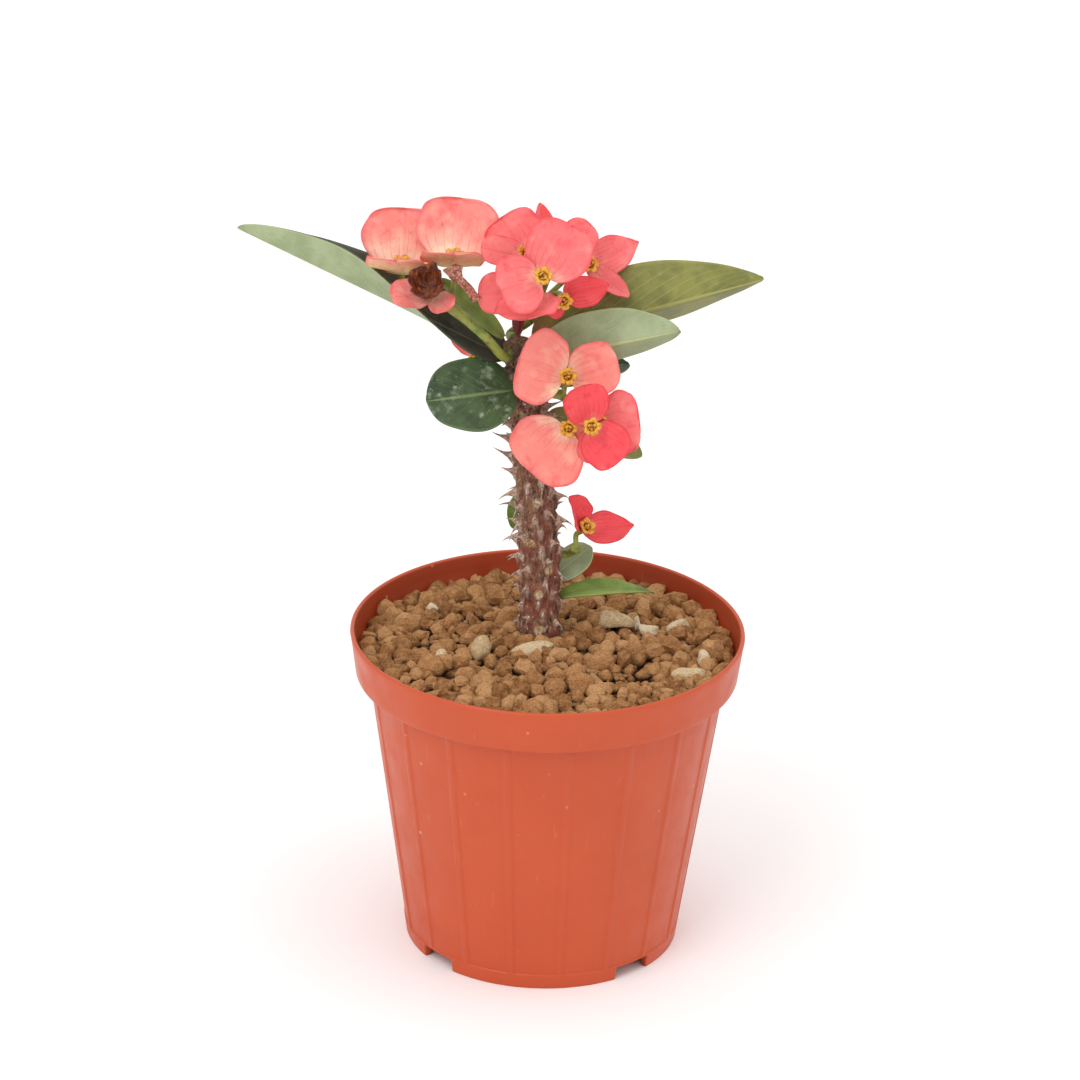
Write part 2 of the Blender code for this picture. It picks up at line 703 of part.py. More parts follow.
BACK_STALK = below_tip(BACK_STALK_DROP)
back = [
    flower("flower_back", BACK_STALK, (-14.4, 9, 11), -120, 20,
           [bract(120, 10, 13, 15), bract(-60, 10, 8, 9)], CORAL),
]
stalk("peduncle_back", STALK_GREEN, BACK_STALK, 130, [(-9.4, 10, 0.5)], back)

LOW_STALK = above_soil(LOW_STALK_RISE)
low = [
    flower("flower_low", LOW_STALK, (13.2, -5, 10.9), -50, 40,
           [bract(120, 40, 13, 12, fold=35, cupped=0.0), bract(-12, 10, 17, 11)], RED, "cup_low"),
]
stalk("peduncle_low", STALK_GREEN, LOW_STALK, 10, [(11.2, -3, 3.9)], low)

# The short stub of a cut flower stalk, on the left.
STUB = below_tip(STUB_DROP)
stub = [on_stem(STUB, 165, SEAT), on_stem(STUB, 165, 3 * MM), on_stem(below_tip(STUB_TIP_DROP), 168, 6 * MM)]
add("cut_stub", tube_mesh("cut_stub", stub, [STUB_RADIUS] * len(stub), 1), PARTS, BARK)
TAKEN.append((STUB, 165))

# The young folded leaf at the tip of the stem.
crown = blade_mesh("crown_shoot", 12 * MM, 5 * MM, LEAF_BASE_WIDTH, 1.2, 0.0, 30, 30, 0.0, 0.0, (6, 4))
shoot = add("crown_shoot", crown, PARTS, RED)
shoot.location = stem_axis(1.0) + Vector((0, 0, SEAT))
shoot.rotation_euler = (0, math.radians(-80), math.radians(60))
thicken(shoot, LEAF_THICK)

build_stem()
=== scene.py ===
import math

import bmesh
import bpy
import numpy as np
from mathutils import Matrix, Vector


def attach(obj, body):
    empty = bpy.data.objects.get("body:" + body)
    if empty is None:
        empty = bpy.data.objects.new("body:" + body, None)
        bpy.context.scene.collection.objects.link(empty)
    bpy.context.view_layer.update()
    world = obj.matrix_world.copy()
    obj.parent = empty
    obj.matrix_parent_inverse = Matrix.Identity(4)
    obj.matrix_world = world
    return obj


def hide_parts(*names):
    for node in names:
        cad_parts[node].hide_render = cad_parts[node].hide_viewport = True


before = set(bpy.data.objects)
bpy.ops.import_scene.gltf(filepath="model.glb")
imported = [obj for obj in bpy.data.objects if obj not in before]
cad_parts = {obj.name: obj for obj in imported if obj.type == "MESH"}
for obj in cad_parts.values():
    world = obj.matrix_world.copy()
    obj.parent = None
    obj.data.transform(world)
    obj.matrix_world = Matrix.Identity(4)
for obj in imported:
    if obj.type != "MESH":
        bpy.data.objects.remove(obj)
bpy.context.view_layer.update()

# A potted crown of thorns. Lengths are in metres and angles in degrees; the pot's axis is X = Y = 0 and the
# plant is seen from -Y. Each section below makes one piece or one group of like pieces.
mm = 0.001


# ---------------------------------------------------------------- studio
# The plant stands on a pale paper sweep under an overcast of white light, with one large soft lamp above and
# to the left of the camera. The camera looks a little down on the pot, through a long lens.

def paint(red, green, blue):
    """A paint chart's 0-255 colour as light: each share is raised to 2.2, near enough to the display
    curve."""
    return tuple((share / 255) ** 2.2 for share in (red, green, blue)) + (1.0,)


def feed(tree, node, inputs):
    """Each named input of a node is given a value, or joined to the output that is given."""
    for name, value in inputs.items():
        if isinstance(value, bpy.types.NodeSocket):
            tree.links.new(value, node.inputs[name])
        else:
            node.inputs[name].default_value = value


def place(tree, kind, inputs=None, **settings):
    """A shader node with its settings and inputs."""
    made = tree.nodes.new("ShaderNode" + kind)
    for name, value in settings.items():
        setattr(made, name, value)
    feed(tree, made, inputs or {})
    return made


def mixed(tree, share, first, second):
    """Two colours mixed by a share."""
    return place(tree, "Mix", {0: share, 6: first, 7: second}, data_type="RGBA").outputs[2]


def cloud(tree, where, size, detail=3.0, roughness=0.55):
    """Soft noise whose patches are about that size."""
    inputs = {"Vector": where, "Scale": 1 / size, "Detail": detail, "Roughness": roughness}
    return place(tree, "TexNoise", inputs).outputs[0]


def finish(name):
    """An empty material, its node tree, and the place on the piece in the piece's own coordinates."""
    made = bpy.data.materials.new(name)
    made.use_nodes = True
    return made, made.node_tree, place(made.node_tree, "TexCoord").outputs["Object"]


def coated(made, colour, roughness, others=None):
    """Gives a material's shader its colour, its roughness and other inputs, and returns the material."""
    shader = made.node_tree.nodes["Principled BSDF"]
    feed(made.node_tree, shader, {"Base Color": colour, "Roughness": roughness, **(others or {})})
    return made


def studio():
    """The paper sweep, the white light around, two lamps and the camera."""
    scene = bpy.context.scene
    scene.view_settings.view_transform = "Standard"
    sky = bpy.data.worlds.new("white_room")
    sky.use_nodes = True
    sky.node_tree.nodes["Background"].inputs["Color"].default_value = (1.0, 0.995, 0.99, 1.0)
    sky.node_tree.nodes["Background"].inputs["Strength"].default_value = 0.97
    scene.world = sky

    paper, tree, where = finish("paper_sweep")
    tone = mixed(tree, cloud(tree, where, 0.4), paint(251, 250, 250), paint(253, 253, 253))
    coated(paper, tone, 0.8, {"Specular IOR Level": 0.2})
    reach = 6.0
    mesh = bpy.data.meshes.new("sweep")
    mesh.from_pydata([(-reach, -reach, 0), (reach, -reach, 0), (reach, reach, 0), (-reach, reach, 0)], [],
                     [(0, 1, 2, 3)])
    mesh.materials.append(paper)
    floor = bpy.data.objects.new("sweep", mesh)
    scene.collection.objects.link(floor)

    for name, at, side, power in (
        ("soft_key", (-0.9, -1.2, 1.7), 1.2, 13.0),
        ("soft_top", (0.5, -0.2, 1.6), 0.9, 3.0),
    ):
        lamp = bpy.data.lights.new(name, "AREA")
        lamp.size = side
        lamp.energy = power
        made = bpy.data.objects.new(name, lamp)
        made.location = at
        made.rotation_euler = (Vector((0, 0, 0.12)) - Vector(at)).to_track_quat("-Z", "Y").to_euler()
        scene.collection.objects.link(made)

    elevation, roll, distance = math.radians(23.89), math.radians(1.28), 1.5
    target = Vector((-2.94, 0, 130.68)) * mm
    back = Vector((0, -math.cos(elevation), math.sin(elevation)))
    right = Vector((1, 0, 0))
    up = back.cross(right)
    lens = bpy.data.cameras.new("camera")
    lens.sensor_width = 36.0
    lens.lens = 165.88
    lens.clip_end = 50.0
    camera = bpy.data.objects.new("camera", lens)
    turned_right = right * math.cos(roll) + up * math.sin(roll)
    turned_up = up * math.cos(roll) - right * math.sin(roll)
    camera.matrix_world = (
        Matrix.Translation(target + back * distance)
        @ Matrix((turned_right, turned_up, back)).transposed().to_4x4()
    )
    scene.collection.objects.link(camera)
    scene.camera = camera


studio()


# ---------------------------------------------------------------- pot
# A 12 cm nursery pot, blown in one piece from terracotta-coloured plastic: a collar with a rounded lip, a
# tapering wall with 18 flat raised strips, and four feet with gaps between them for the water to run out.

pot_height = 101.4 * mm
rim_radius = 60.0 * mm
skirt_radius = 58.2 * mm
skirt_height = 13.6 * mm
wall_top_radius = 54.3 * mm
base_radius = 41.6 * mm
pot_wall = 1.4 * mm
lip = 0.75 * mm
floor_low, floor_high = 3.0 * mm, 4.8 * mm
pad_radius = 14.0 * mm
strip_count, strip_width, strip_turn, strip_proud = 18, 2.1 * mm, -82.0, 0.4 * mm
foot_count, foot_turn = 4, -138.4
gap_width, gap_height = 12.4 * mm, 4.4 * mm
band_height = 4.6 * mm
skirt_bottom = pot_height - skirt_height


def wall_radius(height):
    """The plain wall is a cone: its radius grows evenly from the base to the collar."""
    return base_radius + (wall_top_radius - base_radius) * height / skirt_bottom


def collar_radius(height):
    """The collar is a steeper cone, from the skirt's edge to the lip."""
    return skirt_radius + (rim_radius - skirt_radius) * (height - skirt_bottom) / skirt_height


def eased(x, start, end):
    """0 below start and 1 above end, with 3t^2 - 2t^3 between them."""
    t = np.clip((x - start) / (end - start), 0, 1)
    return t * t * (3 - 2 * t)


def pot_lattice():
    """A profile is carried round the axis: from the middle of the floor up the inside, over the half-round
    lip, down the collar, under its edge, down the wall and back under the floor. On the wall the radius grows
    by a strip's height wherever the direction is inside a strip or the height is inside the band at the foot.
    Where the direction is inside a gap, the lowest points are lifted to the top of the gap."""
    turns = np.radians(np.linspace(0, 360, 721)[:-1])
    inner_rim = collar_radius(pot_height) - pot_wall
    half, middle = (rim_radius - inner_rim) / 2, (rim_radius + inner_rim) / 2
    bend = np.radians(np.linspace(180, 0, 9))
    lip_r, lip_z = middle + half * np.cos(bend), pot_height - lip + lip * np.sin(bend)
    up = np.linspace(floor_high, skirt_bottom + pot_wall, 6)
    down = np.concatenate([
        np.linspace(skirt_bottom - 0.2 * mm, band_height + 0.5 * mm, 30),
        np.linspace(band_height + 0.4 * mm, band_height, 4),
        np.linspace(band_height - 0.3 * mm, 0.35 * mm, 5), [0.1 * mm],
    ])
    radius = np.concatenate([
        [0, pad_radius, wall_radius(floor_high) - pot_wall - 2 * mm], wall_radius(up) - pot_wall,
        [collar_radius(up[-1]) - pot_wall, collar_radius(pot_height - 4 * mm) - pot_wall], lip_r,
        collar_radius(np.linspace(pot_height - 3 * mm, skirt_bottom + 0.5 * mm, 8)),
        [skirt_radius - 0.15 * mm, skirt_radius - 0.5 * mm, wall_top_radius + 0.9 * mm,
         wall_top_radius + 0.1 * mm],
        wall_radius(down),
        [base_radius - 0.3 * mm, base_radius - pot_wall + 0.2 * mm, base_radius - pot_wall],
        [base_radius - pot_wall, base_radius - pot_wall - mm, pad_radius + 2 * mm, pad_radius, 0],
    ])
    height = np.concatenate([
        [floor_high, floor_high, floor_high], up,
        [up[-1] + 0.4 * mm, pot_height - 4 * mm], lip_z,
        np.linspace(pot_height - 3 * mm, skirt_bottom + 0.5 * mm, 8),
        [skirt_bottom + 0.1 * mm, skirt_bottom, skirt_bottom, skirt_bottom - 0.05 * mm],
        down, [0, 0, 0.2 * mm],
        [floor_low, floor_low, floor_low, 0, 0],
    ])
    outer = np.zeros(len(radius))
    last = len(radius) - 5
    outer[last - len(down) - 3:last - 3] = 1
    ring = np.zeros(len(radius))
    ring[last - len(down) - 3:last] = 1
    turn, r, z = turns[:, None], radius[None, :], height[None, :]
    pitch = math.tau / strip_count
    off_strip = np.abs((turn - math.radians(strip_turn) + pitch / 2) % pitch - pitch / 2) * r
    strip = 1 - eased(off_strip, strip_width / 2 - 0.25 * mm, strip_width / 2 + 0.1 * mm)
    band = 1 - eased(z, band_height, band_height + 0.4 * mm)
    r = r + outer * strip_proud * np.maximum(strip, band) * (z > 0)
    share = math.tau / foot_count
    off_gap = np.abs((turn - math.radians(foot_turn) + share / 2) % share - share / 2) * base_radius
    in_gap = (off_gap < gap_width / 2) & (ring > 0)
    z = np.where(in_gap, np.maximum(z, gap_height), z + 0 * turn)
    return np.stack([r * np.cos(turn), r * np.sin(turn), z], axis=-1)


def sums(tree, operation, first, second=0.0, third=0.0):
    """One step of arithmetic on values that change over the surface."""
    return place(tree, "Math", {0: first, 1: second, 2: third}, operation=operation).outputs[0]


def times(tree, first, second):
    """Two values multiplied."""
    return sums(tree, "MULTIPLY", first, second)


def between(tree, value, start, end, low=0.0, high=1.0):
    """A smooth step: low where the value is below start, high where it is above end."""
    inputs = {"Value": value, "From Min": start, "From Max": end, "To Min": low, "To Max": high}
    return place(tree, "MapRange", inputs, interpolation_type="SMOOTHSTEP").outputs[0]


def over(tree, colour, above, value, start, end, most=1.0):
    """A colour over another. Its share climbs smoothly to its most as the value goes from start to end."""
    return mixed(tree, between(tree, value, start, end, 0.0, most), colour, above)


def parted(tree, value):
    """The three numbers of a vector."""
    return place(tree, "SeparateXYZ", {0: value}).outputs


def lattice_share(tree):
    """The share along a lattice's rows and columns, which its UV map keeps."""
    return place(tree, "UVMap", uv_map="lattice").outputs[0]


def stretched(tree, where, scale):
    """Coordinates scaled along each axis, so that a pattern runs in one direction."""
    return place(tree, "Mapping", {"Vector": where, "Scale": scale}).outputs[0]


def rough(made, colour, roughness, height, distance, others=None):
    """A coated material from whose surface a height stands out by that distance."""
    bump = place(made.node_tree, "Bump", {"Height": height, "Distance": distance, "Strength": 1.0})
    return coated(made, colour, roughness, {"Normal": bump.outputs[0], **(others or {})})


def pot_plastic():
    """Terracotta-coloured plastic, streaked where it flowed in the mould, with specks of dust; darker
    inside with painted shade."""
    made, tree, where = finish("pot_plastic")
    colour = mixed(tree, cloud(tree, where, 30 * mm, 4.0), paint(182, 68, 27), paint(198, 80, 36))
    lattice = lattice_share(tree)
    # Painted shade over the inside of the pot, from the floor up to the lip.
    inside = between(tree, parted(tree, lattice)[1], 0.17, 0.13, 0.0, 0.75)
    colour = mixed(tree, inside, colour, paint(146, 54, 26))
    flow = cloud(tree, stretched(tree, where, (1, 1, 0.05)), 1.2 * mm, 2.0)
    colour = over(tree, colour, paint(206, 112, 78), flow, 0.66, 0.8, 0.35)
    dots = place(tree, "TexVoronoi", {"Vector": where, "Scale": 1 / (7 * mm)}).outputs["Distance"]
    dust = times(tree, between(tree, dots, 0.10, 0.04), between(tree, cloud(tree, where, 14 * mm), 0.5, 0.62))
    colour = mixed(tree, times(tree, dust, 0.6), colour, paint(226, 176, 150))
    gloss = between(tree, cloud(tree, where, 9 * mm, 4.0), 0.3, 0.7, 0.36, 0.5)
    skin = sums(tree, "MULTIPLY_ADD", cloud(tree, where, 1.1 * mm), 0.6, cloud(tree, where, 8 * mm, 1.0))
    return rough(made, colour, gloss, skin, 0.06 * mm)


def closed(mesh):
    """Joins points that fall together and turns the faces outwards."""
    shape = bmesh.new()
    shape.from_mesh(mesh)
    bmesh.ops.remove_doubles(shape, verts=shape.verts, dist=0.002 * mm)
    bmesh.ops.recalc_face_normals(shape, faces=shape.faces)
    shape.to_mesh(mesh)
    shape.free()


def keep_values(mesh, values):
    """Each array of values, one to a point, kept as an attribute of its name."""
    for each, value in values.items():
        kept = mesh.attributes.new(each, "FLOAT", "POINT")
        kept.data.foreach_set("value", value.reshape(-1).astype(np.float32))


def solid_skin(name, points, around=False, weld=False, **values):
    """A mesh over a lattice of points, rows by columns. Neighbouring points are joined by four-sided faces;
    around also joins the last column to the first. Weld closes a row that has shrunk to one point, and turns
    all faces outwards. The lattice's own shares, 0 to 1 along its rows and columns, are kept as the UV map,
    and each array of values as an attribute of that name."""
    rows, columns = points.shape[:2]
    index = np.arange(rows * columns).reshape(rows, columns)
    if around:
        index = np.concatenate([index, index[:, :1]], axis=1)
    faces = np.stack([index[:-1, :-1], index[1:, :-1], index[1:, 1:], index[:-1, 1:]], axis=-1).reshape(-1, 4)
    mesh = bpy.data.meshes.new(name)
    mesh.from_pydata(points.reshape(-1, 3).tolist(), [], faces.tolist())
    across = index.shape[1] - 1
    row, column = np.divmod(np.arange((rows - 1) * across), across)
    corners = np.stack([
        np.stack([row, column], -1), np.stack([row + 1, column], -1),
        np.stack([row + 1, column + 1], -1), np.stack([row, column + 1], -1),
    ], axis=1) / np.array([rows - 1, across])
    mesh.uv_layers.new(name="lattice").data.foreach_set("uv", corners.reshape(-1).astype(np.float32))
    keep_values(mesh, values)
    if weld:
        closed(mesh)
    return mesh


def piece(name, mesh, *finishes, slot=None, stands_for=(), smooth=True):
    """The mesh as a piece of the plant, in its place already, riding on the one CAD body."""
    made = bpy.data.objects.new(name, mesh)
    bpy.context.scene.collection.objects.link(made)
    for each in finishes:
        mesh.materials.append(each)
    mesh.polygons.foreach_set("use_smooth", np.full(len(mesh.polygons), smooth))
    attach(made, "root")
    if stands_for:
        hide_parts(*stands_for)
    return made


def closed_round(name, lattice):
    """A lattice carried round an axis: its last turn is joined to its first, and its poles are closed."""
    return solid_skin(name, np.concatenate([lattice, lattice[:1]]), weld=True)


piece("pot_shell", closed_round("pot_shell", pot_lattice()), pot_plastic(), slot="pot_plastic",
      stands_for=["pot"])


# ---------------------------------------------------------------- soil
# Baked clay granules of 2 to 6 mm, heaped a little towards the stem, with some paler stones among them. They
# lie on a dark bed of dust and crumbs, which fills the pot and is held by its wall.

soil_edge = pot_height - 8.0 * mm
mound = 4.5 * mm
soil_radius = 56.9 * mm
stem_x, stem_y = -2.6 * mm, 4.0 * mm
stem_foot = 6.0 * mm
bed_depth = 4.0 * mm
granule_count, crumb_count = 1750, 900


def soil_top(radius):
    """The heap's height falls with the square of the distance from the middle."""
    return soil_edge + mound * (1 - (radius / soil_radius) ** 2)


def bed_lattice():
    """The heap's surface, 4 mm down, and a plain tapering body under it, carried round the axis."""
    turns = np.radians(np.linspace(360, 0, 97)[:-1])[:, None]
    top_rings = 24
    inside = wall_radius(floor_high) - pot_wall - 0.3 * mm
    ledge = wall_radius(skirt_bottom) - pot_wall - 0.5 * mm
    r = np.concatenate([np.linspace(0, soil_radius - mm, top_rings), [ledge, inside, 0]])[None, :]
    z = np.concatenate([soil_top(r[0, :top_rings]) - bed_depth,
                        [skirt_bottom - mm, floor_high + 0.3 * mm, floor_high + 0.3 * mm]])
    top = np.arange(r.shape[1]) < top_rings
    crumbs = 0.5 * mm * np.sin(r / (1.9 * mm) + 3 * np.sin(7 * turns)) * np.sin(29 * turns) * top
    return np.stack([r * np.cos(turns), r * np.sin(turns), z + crumbs * (r > mm)], axis=-1)


def settled(radii, rng):
    """Balls of those radii let fall into the pot's top. In each round every two that overlap are pushed apart
    by half their overlap, all sink a little, and none may leave the pot, enter the stem, rise over the heap's
    top or sink into the bed."""
    count = len(radii)
    around, out = rng.uniform(0, math.tau, count), soil_radius * np.sqrt(rng.uniform(0, 1, count))
    depth, sink, packing, rounds = 6.0 * mm, 0.12 * mm, 0.93, 70
    at = np.stack([out * np.cos(around), out * np.sin(around), soil_top(out) - rng.uniform(0, depth, count)],
                  -1)
    reach = (radii[:, None] + radii[None, :]) * packing
    stem = np.array([stem_x, stem_y])
    for each_round in range(rounds):
        apart = at[:, None, :] - at[None, :, :]
        gap = np.sqrt((apart ** 2).sum(-1)) + 1e-9
        push = np.clip(reach - gap, 0, None) / gap * 0.4
        np.fill_diagonal(push, 0)
        at += (apart * push[:, :, None]).sum(1)
        at[:, 2] -= sink
        flat = np.hypot(at[:, 0], at[:, 1]) + 1e-9
        at[:, :2] *= np.minimum(1, (soil_radius - radii * 0.9) / flat)[:, None]
        from_stem = at[:, :2] - stem
        off = np.hypot(from_stem[:, 0], from_stem[:, 1]) + 1e-9
        at[:, :2] = stem + from_stem * np.maximum(1, (stem_foot + radii * 0.85) / off)[:, None]
        top = soil_top(np.hypot(at[:, 0], at[:, 1]))
        low = np.maximum(top - depth + radii * 0.5, skirt_bottom + pot_wall + radii)
        at[:, 2] = np.clip(at[:, 2], low, top + 0.4 * mm)
    return at


def many_skins(name, points, **values):
    """One mesh of many closed skins, each a lattice of rows and columns carried round. Each array of values,
    one to a point, is kept as an attribute."""
    count, rows, columns = points.shape[:3]
    one = np.arange(rows * columns).reshape(rows, columns)
    one = np.concatenate([one, one[:, :1]], axis=1)
    faces = np.stack([one[:-1, :-1], one[1:, :-1], one[1:, 1:], one[:-1, 1:]], -1).reshape(-1, 4)
    faces = (faces[None] + np.arange(count)[:, None, None] * rows * columns).reshape(-1, 4)
    mesh = bpy.data.meshes.new(name)
    mesh.from_pydata(points.reshape(-1, 3).tolist(), [], faces.tolist())
    keep_values(mesh, values)
    closed(mesh)
    return mesh


def lumps(name, centres, radii, stretch, angular, rng, rings=7, sides=9, headings=None):
    """Many lumps in one mesh. Each is a ball of rings and sides, cut by eight random flats with soft edges:
    its radius is 1 / (sum of (n.d / h)^p)^(1/p), n and h being a flat's direction and distance and d the
    direction of the point. Three random waves roughen it; it is then stretched along its own axes, turned at
    random or to its heading, and put in place."""
    polar = np.linspace(0, math.pi, rings)[:, None]
    turn = np.linspace(0, math.tau, sides + 1)[None, :-1]
    level, upright = np.sin(polar), np.cos(polar) + 0 * turn
    ball = np.stack([level * np.cos(turn), level * np.sin(turn), upright], -1).reshape(-1, 3)
    count = len(centres)
    flat_count, sharpness = 8, 16
    flats = rng.normal(size=(count, flat_count, 3))
    away = rng.uniform(0.58, 1.0, (count, flat_count))
    flats /= np.linalg.norm(flats, axis=2)[:, :, None] * away[:, :, None]
    facing = np.clip(np.einsum("nfi,bi->nfb", flats, ball), 0.76, None)
    swell = 1.12 * (facing ** sharpness).sum(1) ** (-1 / sharpness)
    for wave in (2.2, 3.4, 5.0):
        way = rng.normal(size=(count, 3))
        way /= np.linalg.norm(way, axis=1)[:, None]
        swell += angular / math.sqrt(wave) * np.sin(wave * ball @ way.T + rng.uniform(0, math.tau, count)).T
    shape = ball[None] * swell[:, :, None] * stretch[:, None, :]
    q = rng.normal(size=(count, 4))
    if headings is not None:
        q = np.stack([np.cos(np.radians(headings) / 2), 0 * headings, 0 * headings,
                      np.sin(np.radians(headings) / 2)], -1)
    w, x, y, z = (q / np.linalg.norm(q, axis=1)[:, None]).T
    turned = np.stack([
        np.stack([1 - 2 * (y * y + z * z), 2 * (x * y - z * w), 2 * (x * z + y * w)], -1),
        np.stack([2 * (x * y + z * w), 1 - 2 * (x * x + z * z), 2 * (y * z - x * w)], -1),
        np.stack([2 * (x * z - y * w), 2 * (y * z + x * w), 1 - 2 * (x * x + y * y)], -1),
    ], axis=1)
    points = np.einsum("nij,nkj->nki", turned, shape) * radii[:, None, None] + centres[:, None, :]
    tone = np.repeat(rng.uniform(0, 1, count), len(ball))
    # Painted shade: how far each point lies under the heap's top and below its own lump's middle, so that the
    # clay is darker in the gaps and on each lump's underside.
    depth = (soil_top(np.hypot(points[..., 0], points[..., 1])) + 1.0 * mm - points[..., 2]) / bed_depth
    depth = depth + 0.3 * (centres[:, None, 2] - points[..., 2]) / radii[:, None]
    return many_skins(name, points.reshape(count, rings, sides, 3), tone=tone, depth=depth)


def attribute(tree, name):
    """A value kept on the mesh under that name."""
    return place(tree, "Attribute", attribute_name=name).outputs["Fac"]


def clay(name, dark, middle, light, dirt=None):
    """Baked clay: each granule has its own tone, is dusty in patches, pitted all over, and painted shade
    darkens it lower down.
    """
    made, tree, where = finish(name)
    tone = attribute(tree, "tone")
    colour = over(tree, dark, middle, tone, 0.0, 0.55)
    colour = over(tree, colour, light, tone, 0.55, 1.0, 0.8)
    patches = cloud(tree, where, 2.2 * mm, 5.0, 0.7)
    colour = over(tree, colour, light, patches, 0.35, 0.7, 0.6)
    grit = cloud(tree, where, 0.55 * mm, 3.0, 0.7)
    colour = mixed(tree, between(tree, grit, 0.52, 0.36, 0.0, 0.45), colour, dirt or dark)
    # Painted shade: dark brown over the points that lie deep in the heap or low on their own lump.
    colour = over(tree, colour, paint(50, 30, 18), attribute(tree, "depth"), 0.22, 0.82, 0.92)
    pits = sums(tree, "ADD", grit, times(tree, patches, 1.5))
    return rough(made, colour, 0.95, pits, 0.55 * mm, {"Specular IOR Level": 0.2})


rng = np.random.default_rng(12)
granule_clay = clay("granule_clay", paint(132, 86, 46), paint(180, 127, 80), paint(216, 167, 117))
piece("soil_bed", closed_round("soil_bed", bed_lattice()),
      clay("soil_bed", paint(52, 34, 20), paint(72, 48, 28), paint(96, 68, 42)),
      slot="soil_granules", stands_for=["soil"])
grain_radii = np.clip(rng.lognormal(math.log(1.85), 0.27, granule_count), 1.0, 3.2) * mm
grain_at = settled(grain_radii, rng)
grain_stretch = rng.uniform(0.80, 1.28, (len(grain_radii), 3))
halves = np.array_split(rng.permutation(len(grain_radii)), 2)
for number, chosen in enumerate(halves):
    name = f"granules_{number + 1}"
    piece(name, lumps(name, grain_at[chosen], grain_radii[chosen], grain_stretch[chosen], 0.07, rng),
          granule_clay, slot="soil_granules", smooth=False)
# Crumbs between the granules.
crumb_out = soil_radius * 0.98 * np.sqrt(rng.uniform(0.02, 1, crumb_count))
crumb_turn = rng.uniform(0, math.tau, crumb_count)
crumb_at = np.stack([crumb_out * np.cos(crumb_turn), crumb_out * np.sin(crumb_turn),
                     soil_top(crumb_out) - rng.uniform(0.5, 3.5, crumb_count) * mm], -1)
crumb_radii = rng.uniform(0.45, 0.95, crumb_count) * mm
piece("crumbs", lumps("crumbs", crumb_at, crumb_radii, np.ones((crumb_count, 3)), 0.1, rng, 5, 6),
      granule_clay, slot="soil_granules")
# The pale stones: place on the heap, radius, stretch along the three axes, and heading of each.
stones = np.array([
    (-3.7, -9.6, 2.9, 1.9, 0.9, 0.75, 4), (-20.3, -11.1, 3.1, 0.8, 0.8, 1.5, 30),
    (-19.5, -7.5, 1.9, 1.2, 0.8, 0.8, 20), (19.7, 12.6, 3.0, 1.9, 1.0, 0.8, -12),
    (30.7, 8.0, 2.4, 1.35, 0.9, 0.8, -20), (40.0, 13.7, 2.6, 1.5, 0.8, 0.9, 40),
    (43.1, -18.5, 3.0, 1.4, 0.9, 0.7, 15), (-36.0, 23.0, 1.6, 1.2, 0.8, 0.8, 0),
    (27.5, 11.0, 1.3, 0.8, 0.7, 1.9, 0), (-32.0, -13.0, 1.8, 1.2, 0.8, 0.9, 60),
    (8.0, 36.0, 1.7, 1.4, 0.8, 0.8, 10), (47.5, -7.0, 2.3, 1.3, 1.0, 0.9, 70),
])
stone_out = np.hypot(stones[:, 0], stones[:, 1]) * mm
stone_at = np.stack([stones[:, 0] * mm, stones[:, 1] * mm, soil_top(stone_out) + 1.2 * mm], -1)
piece("pale_stones",
      lumps("pale_stones", stone_at, stones[:, 2] * mm, stones[:, 3:6], 0.11, rng, 16, 24, stones[:, 6]),
      clay("pale_stone", paint(204, 170, 120), paint(226, 200, 158), paint(240, 222, 190),
           paint(176, 132, 84)),
      slot="soil_granules")


# ---------------------------------------------------------------- stem
# One woody stem, brown with a purple cast, its bark split into a net of fibres. It leans a little to the left
# towards the tip. Round tan scars mark where old leaves were, and rows of thorns wind up it.

soil_level = soil_top(math.hypot(stem_x, stem_y))
stem_height = 97.0 * mm
stem_radius, stem_top_radius = 6.0 * mm, 4.4 * mm
stem_lean = 8.2 * mm
stem_buried = 12.0 * mm


def stem_axis(up):
    """At a share of its height, the axis has moved to the left with that share's square."""
    up = np.asarray(up, float)
    lean = stem_lean * np.maximum(up, 0) ** 2
    return np.stack([stem_x - lean, stem_y + 0 * up, soil_level + up * stem_height], -1)


def stem_girth(up):
    """The radius falls with the cube of the share of the height."""
    return stem_radius + (stem_top_radius - stem_radius) * np.maximum(up, 0) ** 3


def out_from(azimuth):
    """The level direction at an azimuth."""
    azimuth = np.radians(azimuth)
    return np.stack([np.cos(azimuth), np.sin(azimuth), 0 * azimuth], -1)


def on_stem(up, azimuth, off):
    """The point that far off the stem's side, at a share of its height and an azimuth."""
    return stem_axis(up) + out_from(azimuth) * (stem_girth(up) + off)[..., None]


def below_tip(distance):
    """The share of the stem's height at so many millimetres below its tip."""
    return 1 - distance * mm / stem_height


def above_soil(distance):
    """The share of the stem's height at so many millimetres above the soil."""
    return distance * mm / stem_height


thorn_count = 118
thorn_turn = 137.5
thorn_number = np.arange(thorn_count)
thorn_up = above_soil(1.5) + (below_tip(3.0) - above_soil(1.5)) * thorn_number / (thorn_count - 1)
thorn_azimuth = thorn_number * thorn_turn + rng.uniform(-14, 14, thorn_count)
scar_up = np.array([0.045, 0.165, 0.245, 0.335, 0.475, 0.60, 0.68, 0.76, 0.12, 0.37, 0.55, 0.71])
scar_azimuth = np.array([272, 268, 298, 248, 277, 262, 300, 255, 60, 120, 170, 20])


def round_stem(up, azimuth, spots_up, spots_azimuth, tall, wide):
    """How near each point of the bark is to a set of spots: the greatest of exp(-d^2), d being the distance
    in spot heights and widths."""
    near = np.zeros(np.broadcast(up, azimuth).shape)
    for spot_up, spot_azimuth in zip(spots_up, spots_azimuth):
        rise = (up - spot_up) * stem_height / tall
        side = np.radians((azimuth - spot_azimuth + 180) % 360 - 180) * stem_radius / wide
        near = np.maximum(near, np.exp(-rise ** 2 - side ** 2))
    return near


